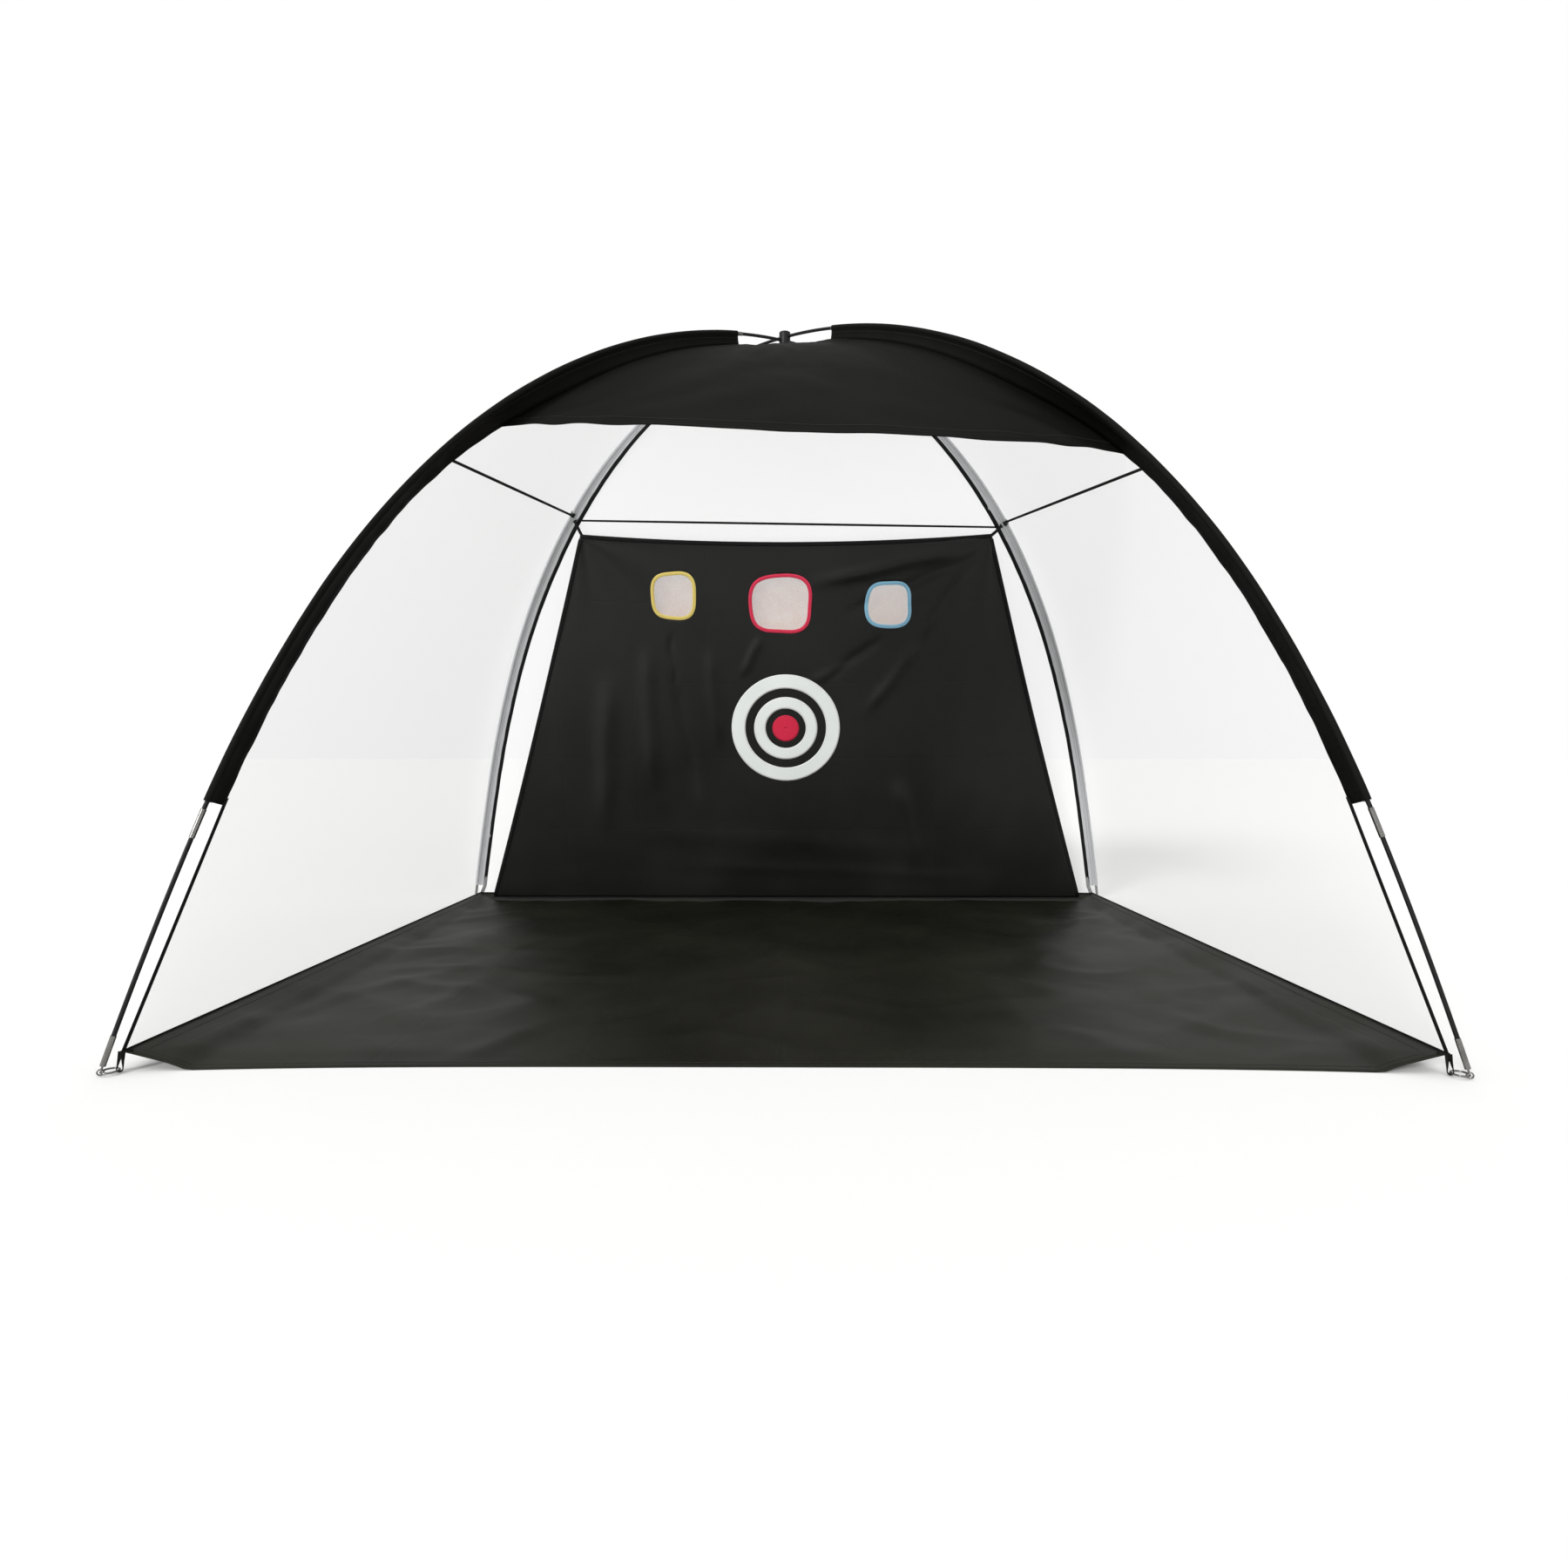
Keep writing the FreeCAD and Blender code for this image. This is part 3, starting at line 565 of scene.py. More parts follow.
def thicken(made: Piece, thickness: float) -> None:
    """Give a sheet its thickness on the side away from its faces."""
    solid = made.modifiers.new("thickness", "SOLIDIFY")
    solid.thickness = thickness
    solid.offset = -1.0


def dress(made: Piece, finish: Finish, slot: str, body: str = FRAME_BODY,
          nodes: Sequence[str] = ()) -> Piece:
    """Give a finished piece its material, its body and the CAD nodes it stands for.

    Args:
        made: The piece.
        finish: Its finish.
        slot: The record's material slot; not used.
        body: The body that it rides on.
        nodes: The CAD nodes that it replaces.

    Returns:
        The same piece.
    """
    made.data.materials.clear()
    made.data.materials.append(finish.material())
    for face in made.data.polygons:
        face.use_smooth = True
    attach(made, body)
    if nodes:
        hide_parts(*nodes)
    LOG.info("%s: %d faces, rides on %s", made.name, len(made.data.polygons), body)
    return made


def black_tape(name: str, stations: Sequence[Station], width: float, thickness: float,
               body: str = FRAME_BODY, nodes: Sequence[str] = ()) -> Piece:
    """Sweep a flat black tape and dress it.

    Args:
        name: The piece's name.
        stations: The places along the tape.
        width: The tape's width.
        thickness: Its thickness.
        body: The body that it rides on.
        nodes: The CAD nodes that it replaces.

    Returns:
        The dressed tape.
    """
    made = sweep(name, stations, tape_profile(width, thickness))
    return dress(made, BLACK_TAPE, "black_webbing", body, nodes)


def directions(line: Sequence[Vector]) -> list[Vector]:
    """The direction of a path at each of its points."""
    last = len(line) - 1
    return [(line[min(n + 1, last)] - line[max(n - 1, 0)]).normalized() for n in range(last + 1)]


# ---- geometry-nodes makers -----------------------------------------------------------------------


@dataclass(frozen=True)
class NodesMaker:
    """Runs a geometry-nodes tree on a path or lattice and keeps the plain mesh."""

    finish: Finish

    def inputs(self) -> dict[str, float]:
        """The tree's named size inputs."""
        raise NotImplementedError

    def wire(self, tree: Tree, start: Node) -> Socket:
        """Add the tree's nodes and return the geometry before its material is set."""
        raise NotImplementedError

    def tree(self) -> Tree:
        """Build the tree, or return it if another piece has built it."""
        title = type(self).__name__ + "_" + self.finish.name
        made = bpy.data.node_groups.get(title)
        if made:
            return made
        made = bpy.data.node_groups.new(title, "GeometryNodeTree")
        made.interface.new_socket("Geometry", in_out="INPUT", socket_type="NodeSocketGeometry")
        for name in self.inputs():
            made.interface.new_socket(name, in_out="INPUT", socket_type="NodeSocketFloat")
        made.interface.new_socket("Geometry", in_out="OUTPUT", socket_type="NodeSocketGeometry")
        start = add(made, "NodeGroupInput")
        shape = self.wire(made, start)
        real = add(made, "GeometryNodeRealizeInstances", {0: shape})
        inputs = {"Geometry": real.outputs[0], "Material": self.finish.material()}
        dressed = add(made, "GeometryNodeSetMaterial", inputs)
        add(made, "NodeGroupOutput", {0: dressed.outputs[0]})
        return made

    def run(self, made: Piece) -> Piece:
        """Run the tree on an object and swap the object's mesh for the plain result."""
        step = made.modifiers.new("maker", "NODES")
        step.node_group = self.tree()
        sockets = step.node_group.interface.items_tree
        ids = {item.name: item.identifier for item in sockets if item.in_out == "INPUT"}
        for name, value in self.inputs().items():
            step[ids[name]] = value
        graph = bpy.context.evaluated_depsgraph_get()
        graph.update()
        result = bpy.data.meshes.new_from_object(made.evaluated_get(graph), depsgraph=graph)
        made.modifiers.clear()
        made.data = result
        return made


@dataclass(frozen=True)
class Stitching(NodesMaker):
    """A row of lock stitches along a path: short rounded threads, one to each pitch."""

    pitch: float = 7.0 * MM
    length: float = 4.4 * MM
    radius: float = 0.55 * MM

    def inputs(self) -> dict[str, float]:
        """The stitch's three sizes."""
        return {"Pitch": self.pitch, "Length": self.length, "Radius": self.radius}

    def wire(self, tree: Tree, start: Node) -> Socket:
        """Set one short thread at each pitch along every path, in line with it."""
        size = start.outputs
        path = add(tree, "GeometryNodeMeshToCurve", {"Mesh": size["Geometry"]})
        along = {"Curve": path.outputs[0], "Length": size["Pitch"]}
        spaced = add(tree, "GeometryNodeCurveToPoints", along, mode="LENGTH").outputs
        shape = {"Vertices": 5, "Radius": size["Radius"], "Depth": size["Length"]}
        stitch = add(tree, "GeometryNodeMeshCylinder", shape, fill_type="TRIANGLE_FAN").outputs
        inputs = {"Points": spaced["Points"], "Instance": stitch["Mesh"], "Rotation": spaced["Rotation"]}
        return add(tree, "GeometryNodeInstanceOnPoints", inputs).outputs[0]


@dataclass(frozen=True)
class Threads(NodesMaker):
    """A net's own threads: every edge of a lattice becomes a thin four-sided thread."""

    radius: float = 1.0 * MM

    def inputs(self) -> dict[str, float]:
        """The thread's size."""
        return {"Radius": self.radius}

    def wire(self, tree: Tree, start: Node) -> Socket:
        """Sweep a small section along every edge."""
        path = add(tree, "GeometryNodeMeshToCurve", {"Mesh": start.outputs["Geometry"]})
        shape = {"Resolution": 4, "Radius": start.outputs["Radius"]}
        section = add(tree, "GeometryNodeCurvePrimitiveCircle", shape)
        inputs = {"Curve": path.outputs[0], "Profile Curve": section.outputs["Curve"]}
        return add(tree, "GeometryNodeCurveToMesh", inputs).outputs[0]


BLACK_STITCHES = Stitching(SEWING_THREAD)


def path_object(name: str, lines: Iterable[Sequence[Vector]], ring: bool = False) -> Piece:
    """Make one object of several open or closed paths.

    Args:
        name: The object's name.
        lines: The paths, each a row of points.
        ring: Whether each path closes on itself.

    Returns:
        An object of loose edges.
    """
    points: list[Vector] = []
    edges: list[tuple[int, int]] = []
    for line in lines:
        first = len(points)
        points += list(line)
        edges += [(first + n, first + n + 1) for n in range(len(line) - 1)]
        if ring:
            edges.append((len(points) - 1, first))
    return new_object(name, points, [], edges)


def stitch_rows(name: str, lines: Iterable[Sequence[Vector]], slot: str, body: str = FRAME_BODY,
                ring: bool = False, maker: Stitching = BLACK_STITCHES) -> Piece:
    """Sew rows of stitches along paths and dress them as one piece.

    Args:
        name: The piece's name.
        lines: The paths.
        slot: The record's material slot.
        body: The body that the stitches ride on.
        ring: Whether each path closes on itself.
        maker: The stitch's sizes and finish.

    Returns:
        The dressed stitches.
    """
    return dress(maker.run(path_object(name, lines, ring)), maker.finish, slot, body)


# ---- the bent poles ------------------------------------------------------------------------------


def first_length(length: float, reached: Callable[[float], bool]) -> float:
    """Find where something is first reached along a pole, by halving.

    Args:
        length: The length to look along.
        reached: Whether it has been reached at a length from the start.

    Returns:
        The length at which it is first reached.
    """
    low, high = 0.0, length
    for _ in range(HALVINGS):
        middle = (low + high) / 2
        if reached(middle):
            high = middle
        else:
            low = middle
    return low


@dataclass
class BentPole:
    """One pole as the chain of tangent arcs that its sections make."""

    side: Side
    end_angle: float
    lean: float
    width: float = 3.0
    depth: float = 2.3
    foot_height: float = 0.024
    sections: int = 11
    length: float = field(init=False)

    def __post_init__(self) -> None:
        """Work out the angle, bend and start of every section."""
        half_width, half_depth = self.width / 2, self.depth / 2
        self.foot = Vector((self.side.value * half_width, -half_depth, self.foot_height))
        self.along = Vector((-self.side.value * half_width, half_depth, 0.0)).normalized()
        tilt = math.tan(self.lean)
        steps = range(self.sections + 1)
        upright = [self.end_angle * math.cos(math.pi * k / self.sections) for k in steps]
        angles = [a - tilt * math.sin(a) ** 2 for a in upright]
        reach, rise = self.chain_end(angles)
        settle = math.atan2(rise, reach)
        self.angles = [a - settle for a in angles]
        self.section = 2 * math.hypot(half_width, half_depth) / math.hypot(reach, rise)
        self.length = self.section * self.sections
        self.radii = [self.section / (a - b) for a, b in zip(self.angles, self.angles[1:])]
        self.starts = [(0.0, 0.0)]
        for k in range(self.sections):
            self.starts.append(self.on_arc(k, self.section))
        self.crossing = self.find_crossing()

    @staticmethod
    def chain_end(angles: Sequence[float]) -> tuple[float, float]:
        """Where a chain of unit-long arcs with these joint angles ends."""
        reach = sum((math.sin(a) - math.sin(b)) / (a - b) for a, b in zip(angles, angles[1:]))
        rise = sum((math.cos(b) - math.cos(a)) / (a - b) for a, b in zip(angles, angles[1:]))
        return reach, rise

    def on_arc(self, k: int, s: float) -> tuple[float, float]:
        """The point a length s into section k, along and up from the foot."""
        q, z = self.starts[k]
        radius = self.radii[k]
        a = self.angles[k]
        b = a - s / radius
        return q + radius * (math.sin(a) - math.sin(b)), z + radius * (math.cos(b) - math.cos(a))

    def index(self, s: float) -> tuple[int, float]:
        """The section that holds arc length s, and how far into it s is."""
        k = min(max(int(s / self.section), 0), self.sections - 1)
        return k, s - k * self.section

    def point(self, s: float) -> Vector:
        """The pole's axis at arc length s from the front foot."""
        q, z = self.on_arc(*self.index(s))
        return self.foot + self.along * q + UP * z

    def tangent(self, s: float) -> Vector:
        """The pole's direction at arc length s, towards the rear foot."""
        k, rest = self.index(s)
        a = self.angles[k] - rest / self.radii[k]
        return self.along * math.cos(a) + UP * math.sin(a)

    def find_crossing(self) -> float:
        """The arc length at which the pole passes over the middle of the footprint."""
        half_way = math.hypot(self.width, self.depth) / 2
        return first_length(self.length, lambda s: (self.point(s) - self.foot).dot(self.along) >= half_way)


@dataclass(frozen=True)
class HalfPole:
    """A pole's half from one foot up to the crossing, measured from that foot."""

    name: str
    pole: BentPole
    at_front: bool

    @property
    def length(self) -> float:
        """The half's length, from its foot to the crossing."""
        return self.pole.crossing if self.at_front else self.pole.length - self.pole.crossing

    def arc(self, s: float) -> float:
        """The pole's own arc length at a length s up from this foot."""
        return s if self.at_front else self.pole.length - s

    def point(self, s: float) -> Vector:
        """The axis at a length s up from this foot."""
        return self.pole.point(self.arc(s))

    def tangent(self, s: float) -> Vector:
        """The direction up the pole at a length s from this foot."""
        return self.pole.tangent(self.arc(s)) * (1.0 if self.at_front else -1.0)

    def inward(self) -> Vector:
        """The level direction from this foot to the middle of the footprint."""
        foot = self.point(0.0)
        return Vector((-foot.x, -foot.y, 0.0)).normalized()

    def rise_to(self, height: float) -> float:
        """The length at which the axis first reaches a height."""
        return first_length(self.length, lambda s: self.point(s).z >= height)


LOWER_POLE = BentPole(Side.LEFT, math.radians(75.345), math.radians(6.5))
UPPER_POLE = BentPole(Side.RIGHT, math.radians(75.58), math.radians(5.0))
FRONT_LEFT = HalfPole("front_left", LOWER_POLE, True)
FRONT_RIGHT = HalfPole("front_right", UPPER_POLE, True)
REAR_LEFT = HalfPole("rear_left", UPPER_POLE, False)
REAR_RIGHT = HalfPole("rear_right", LOWER_POLE, False)


@dataclass(frozen=True)
class SewingPlan:
    """The sizes that the sewn pieces share."""

    front_sleeve_start: float = 0.612
    rear_sleeve_start: float = 0.1
    sleeve_stop: float = 0.2
    front_band: float = 0.073
    rear_band: float = 0.038
    crown_band: float = 0.5
    turn_start: float = 0.5
    turn_span: float = 0.35
    pole_side: float = 0.0105
    corner_reach: float = 0.034
    front_hem_height: float = 0.046
    rear_hem_height: float = 0.028
    front_side_spread: float = 0.15
    rear_side_spread: float = 0.085
    rear_spread: float = 0.045
    hem_gap: float = 0.003
    tape: float = 0.014
    seams: dict[str, float] = field(
        default_factory=lambda: {
            "front_left": 1.535,
            "front_right": 1.495,
            "rear_left": 1.71,
            "rear_right": 1.685,
        }
    )

    def seam(self, edge: HalfPole) -> float:
        """How far up a half pole the seam between wall and roof meets it."""
        return edge.rise_to(self.seams[edge.name])

    def stop(self, edge: HalfPole) -> float:
        """How far up a half pole the sewn pieces end, short of the crossing."""
        return edge.length - self.sleeve_stop

    def corner(self, edge: HalfPole) -> Vector:
        """The sewn net's corner inside one foot, where the strap to the ring holds it up."""
        place = edge.point(0.0) + edge.inward() * self.corner_reach
        return Vector((place.x, place.y, self.front_hem_height if edge.at_front else self.rear_hem_height))

    def lift(self, x: float, y: float) -> float:
        """How high the taut hem holds the ground sheet near its sides and its rear edge."""
        corner = self.corner(REAR_RIGHT)
        front = (corner.y - y) / (2 * corner.y)
        spread = self.rear_side_spread + (self.front_side_spread - self.rear_side_spread) * front
        side = 1 - (corner.x - abs(x)) / spread
        rear = 1 - (corner.y - y) / self.rear_spread
        share = max(side, rear, 0.0)
        height = self.rear_hem_height + (self.front_hem_height - self.rear_hem_height) * front
        return height * share * smooth(share * 3)


PLAN = SewingPlan()


def inset(edge: HalfPole, s: float, other: Vector, clear: float) -> Vector:
    """Move a point on a half pole towards another point until it is clear of the pole's axis."""
    here = edge.point(s)
    ruling = (other - here).normalized()
    slant = max(ruling.cross(edge.tangent(s)).length, 0.2)
    return here + ruling * (clear / slant)


@dataclass(frozen=True)
class Fin:
    """The flat band inside a pole that the panels are sewn to.

    Low down only one panel pulls on it, so it lies in that panel. Towards the crown panels pull
    from both sides, so it hangs down from the pole.
    """

    edge: HalfPole
    towards: HalfPole
    reach: float

    def frame(self, s: float) -> Station:
        """The place at a length s up the pole: across runs along the band."""
        here = self.edge.point(s)
        climb = self.edge.tangent(s)
        share = s / self.edge.length
        ruling = self.towards.point(share * self.towards.length) - here
        side = (ruling - climb * ruling.dot(climb)).normalized()
        down = (climb * climb.z - UP).normalized()
        turn = smooth((share - PLAN.turn_start) / PLAN.turn_span)
        across = side.lerp(down, turn).normalized()
        return Station(here, across, across.cross(climb).normalized())

    def width(self, s: float) -> float:
        """How far the band reaches from the pole's axis: it narrows towards the crown."""
        turn = smooth((s / self.edge.length - PLAN.turn_start) / (1 - PLAN.turn_start))
        return self.reach * (1 - (1 - PLAN.crown_band) * turn)

    def rim(self, s: float, overlap: float = 0.002) -> Vector:
        """The band's inner edge, where the panels are sewn on."""
        place = self.frame(s)
        return place.centre + place.across * (self.width(s) - overlap)

    def rise_to(self, height: float) -> float:
        """The length up the pole at which the band's inner edge reaches a height."""
        return first_length(self.edge.length, lambda s: self.rim(s).z >= height)


FRONT_LEFT_FIN = Fin(FRONT_LEFT, REAR_LEFT, PLAN.front_band)
FRONT_RIGHT_FIN = Fin(FRONT_RIGHT, REAR_RIGHT, PLAN.front_band)
REAR_LEFT_FIN = Fin(REAR_LEFT, REAR_RIGHT, PLAN.rear_band)
REAR_RIGHT_FIN = Fin(REAR_RIGHT, REAR_LEFT, PLAN.rear_band)


# ---- sleeves -------------------------------------------------------------------------------------


@dataclass(frozen=True)
class Sleeve:
    """A sewn tunnel round half a pole, with the flat band that joins it to its panels."""

    fin: Fin
    start: float
    finish: Finish
    slot: str
    tunnel: float = 0.0088
    puckers: float = 1.6 * MM
    spacing: float = 0.012
    half_cloth: float = 0.7 * MM
    opening: float = math.radians(52)

    def rows(self, spacing: float) -> list[float]:
        """The lengths up the pole at an even spacing, from the sleeve's start to its stop."""
        top = PLAN.stop(self.fin.edge)
        count = round((top - self.start) / spacing)
        return [self.start + (top - self.start) * n / count for n in range(count + 1)]

    def profile(self, s: float) -> list[tuple[float, float]]:
        """The teardrop section at a length s, its band slightly puckered."""
        foot = self.fin.edge.point(0)
        lift = self.puckers * noise.noise(Vector((s * 22.0, foot.x, foot.y)))
        band = self.fin.width(s) + 0.6 * MM * noise.noise(Vector((s * 14.0, foot.y, 1.0)))
        tunnel = self.tunnel * (1.0 + 0.07 * noise.noise(Vector((s * 9.0, 3.0, foot.x))))
        turns = [self.opening + (2 * math.pi - 2 * self.opening) * n / 14 for n in range(15)]
        around = [(tunnel * math.cos(t), tunnel * math.sin(t)) for t in turns]
        half = self.half_cloth
        neck = tunnel * 1.5
        lower = [(neck, -half * 2.2 + lift * 0.3), (band * 0.75, -half + lift), (band, -half + lift * 1.4)]
        upper = [(band, half + lift * 1.4), (band * 0.75, half + lift), (neck, half * 2.2 + lift * 0.3)]
        return around + lower + upper

    def build(self) -> None:
        """Sweep the teardrop up the pole and dress it in place of the plain tube."""
        rows = self.rows(self.spacing)
        stations = [self.fin.frame(s) for s in rows]
        name = self.fin.edge.name
        made = sweep(f"{name}_pole_sleeve", stations, self.profile(self.start), capped=False)
        size = len(self.profile(self.start))
        for r, (s, station) in enumerate(zip(rows, stations)):
            for c, (a, b) in enumerate(self.profile(s)):
                made.data.vertices[r * size + c].co = station.centre + station.across * a + station.out * b
        dress(made, self.finish, self.slot, nodes=[f"{name}_sleeve"])

    def line(self, across: float, lift: float) -> list[Vector]:
        """A path along the band at a distance from the pole's axis, for its stitches."""
        places = [self.fin.frame(s) for s in self.rows(0.03)]
        return [p.centre + p.across * across + p.out * lift for p in places]


@dataclass
class Sleeves:
    """All four pole sleeves with their stitching and the black tape on the pale rear bands."""

    stitch_inset: float = 0.0145
    stitch_lift: float = 1.5 * MM
    tape_width: float = 0.017
    tape_thickness: float = 3.6 * MM
    tape_wander: float = 0.9 * MM

    def parts(self) -> list[Sleeve]:
        """The four sleeves: black on the front half of each pole, pale on the rear half."""
        front, rear = PLAN.front_sleeve_start, PLAN.rear_sleeve_start * 0.45
        black, pale = (CANOPY_CLOTH, "black_cloth"), (GREY_SLEEVE, "pale_sleeve_cloth")
        return [
            Sleeve(FRONT_LEFT_FIN, front, *black),
            Sleeve(FRONT_RIGHT_FIN, front, *black),
            Sleeve(REAR_LEFT_FIN, rear, *pale),
            Sleeve(REAR_RIGHT_FIN, rear, *pale),
        ]

    def build(self) -> None:
        """Build the sleeves, then the stitches that close each tunnel."""
        parts = self.parts()
        for part in parts:
            part.build()
        inner = [part.line(self.stitch_inset, -self.stitch_lift) for part in parts]
        outer = [part.line(self.stitch_inset, self.stitch_lift) for part in parts]
        stitch_rows("sleeve_stitching", inner + outer, "black_cloth")
        for part in parts[2:]:
            self.bind(part)

    def bind(self, part: Sleeve) -> None:
        """Sew a black tape over the pale band's inner edge, down to the hem."""
        fin = part.fin
        stations = []
        for s in part.rows(0.02):
            place = fin.frame(s)
            wander = self.tape_wander * noise.noise(Vector((s * 16.0, fin.edge.point(0).x, 4.0)))
            centre = place.centre + place.across * (fin.width(s) + wander)
            stations.append(Station(centre, place.across, place.out))
        first = stations[0]
        corner = PLAN.corner(fin.edge)
        towards = (PLAN.corner(fin.towards) - corner).normalized() * (self.tape_width * 0.5)
        start = corner + towards
        low = [Station(start.lerp(first.centre, t / 5), first.across, first.out) for t in range(5)]
        black_tape(f"{fin.edge.name}_wall_tape", low + stations, self.tape_width, self.tape_thickness)


# ---- nets and canopy -----------------------------------------------------------------------------


class Level(Enum):
    """Whether a net panel is a wall below the seam or a roof above it."""

    WALL = "wall"
    ROOF = "roof"


@dataclass(frozen=True)
class PanelEdge:
    """One edge of a net panel: sewn to a pole's band, or close beside the pole."""

    edge: HalfPole
    fin: Fin | None = None

    def point(self, s: float, far: Vector) -> Vector:
        """The panel's edge at a length s up the pole, facing a point on the other edge."""
        return self.fin.rim(s) if self.fin else inset(self.edge, s, far, PLAN.pole_side)


@dataclass(frozen=True)
class NetPanel:
    """A taut net between two half poles, ruled straight across and drawn in a little."""

    name: str
    level: Level
    left: PanelEdge
    right: PanelEdge
    sag: float = 0.012
    columns: int = 44
    rows: int = 60

    def lengths(self, edge: HalfPole) -> tuple[float, float]:
        """Where the panel starts and stops on an edge."""
        if self.level is Level.WALL:
            return 0.0, PLAN.seam(edge)
        return PLAN.seam(edge), PLAN.stop(edge)

    def edge_point(self, near: PanelEdge, other: PanelEdge, share: float) -> Vector:
        """A point on one edge: on the pole's band, or straight down to the hem below the sleeve."""
        start, stop = self.lengths(near.edge)
        s = start + (stop - start) * share
        far_start, far_stop = self.lengths(other.edge)
        far = other.edge.point(far_start + (far_stop - far_start) * share)
        low = PLAN.front_sleeve_start if near.edge.at_front else PLAN.rear_sleeve_start
        if s >= low:
            return near.point(s, far)
        corner = PLAN.corner(near.edge)
        corner = corner + (PLAN.corner(other.edge) - corner).normalized() * PLAN.hem_gap
        far_low = other.edge.point(far_start + (far_stop - far_start) * (low - start) / (stop - start))
        return corner.lerp(near.point(low, far_low), s / low)

    def point(self, across: float, up: float) -> Vector:
        """A point of the net, drawn in towards the inside between its edges."""
        a = self.edge_point(self.left, self.right, up)
        b = self.edge_point(self.right, self.left, up)
        flat = a.lerp(b, across)
        span = (b - a).length
        inward = Vector((0.0, 0.0, 0.7)) - flat
        inward = (inward - (b - a) * inward.dot(b - a) / span**2).normalized()
        middle = 4 * across * (1 - across)
        pull = middle * math.sin(math.pi * min(up * 1.15, 1.0)) * self.sag
        ripple = noise.noise(Vector((across * 5.0, up * 6.0, len(self.name)))) * 2.0 * MM * middle
        return flat + inward * (pull + ripple * math.sin(math.pi * up))

    @property
    def side(self) -> str:
        """The word for the side that the panel closes."""
        return self.name.split("_")[0]

    def build(self) -> None:
        made = Grid(f"{self.name}_mesh", self.point, self.columns, self.rows).build()
        dress(made, WHITE_NET, "white_netting", nodes=[self.name])
        declare_sheet(made)


def declare_sheet(made: Piece) -> None:
    """Log a cloth piece's flat size, which its own grid of lengths gives, and its area."""
    mesh = made.data
    area = sum(face.area for face in mesh.polygons)
    uv = [loop.uv for loop in mesh.uv_layers[CLOTH_UV].data]
    width = max(p[0] for p in uv) - min(p[0] for p in uv)
    length = max(p[1] for p in uv) - min(p[1] for p in uv)
    LOG.info("%s: flat %.2f x %.2f m, %.2f m2", made.name, width, length, area)


@dataclass
class Nets:
    """The six net panels with the tapes along their seams, front edges and hems."""

    seam_tape: float = 0.010
    tape_thickness: float = 1.4 * MM
    steps: int = 60

    def panels(self) -> list[NetPanel]:
        """Three walls and three roofs."""
        made = []
        for level in Level:
            left = PanelEdge(REAR_LEFT), PanelEdge(FRONT_LEFT, FRONT_LEFT_FIN)
            right = PanelEdge(FRONT_RIGHT, FRONT_RIGHT_FIN), PanelEdge(REAR_RIGHT)
            rear = PanelEdge(REAR_RIGHT, REAR_RIGHT_FIN), PanelEdge(REAR_LEFT, REAR_LEFT_FIN)
            made.append(NetPanel(f"left_{level.value}_net", level, *left))
            made.append(NetPanel(f"right_{level.value}_net", level, *right))
            made.append(NetPanel(f"rear_{level.value}_net", level, *rear))
        return made

    def build(self) -> None:
        """Build the panels, then sew on the tapes."""
        panels = self.panels()
        for panel in panels:
            panel.build()
        walls = [p for p in panels if p.level is Level.WALL]
        roofs = [p for p in panels if p.level is Level.ROOF]
        for wall in walls:
            nodes = ["roof_seam_tapes"] if wall is walls[0] else []
            self.tape(f"{wall.side}_seam_tape", wall, 1.0, nodes)
        for wall in walls:
            self.tape(f"{wall.side}_hem_tape", wall, 0.0)
        for roof in roofs:
            self.tape(f"{roof.side}_crown_tape", roof, 1.0)
        for wall, at_right in ((walls[0], True), (walls[1], False)):
            self.front_tape(wall, at_right)

    def tape(self, name: str, panel: NetPanel, up: float, nodes: Sequence[str] = ()) -> None:
        """A tape along one of a panel's straight edges, on its inner face."""
        step = 0.02 if up < 0.5 else -0.02
        along = (panel.point(1.0, up) - panel.point(0.0, up)).normalized()
        stations = []
        for n in range(self.steps + 1):
            share = n / self.steps
            here = panel.point(share, up)
            climb = (panel.point(share, up + step) - here).normalized()
            stations.append(Station(here, climb, along.cross(climb).normalized()))
        black_tape(name, stations, self.seam_tape, self.tape_thickness, nodes=nodes)

    def front_tape(self, wall: NetPanel, at_right: bool) -> None:
        """The black tape on a side wall's front edge, from the hem to the sleeve's end."""
        edge = wall.right.edge if at_right else wall.left.edge
        share = PLAN.front_sleeve_start / PLAN.seam(edge)
        side = 1.0 if at_right else 0.0
        inner = 0.98 if at_right else 0.02
        stations = []
        for n in range(41):
            up = share * 1.03 * n / 40
            here = wall.point(side, up)
            across = (wall.point(inner, up) - here).normalized()
            climb = (wall.point(side, up + 0.01) - here).normalized()
            stations.append(Station(here, across, across.cross(climb).normalized()))
        black_tape(f"{edge.name}_edge_tape", stations, PLAN.tape, self.tape_thickness)


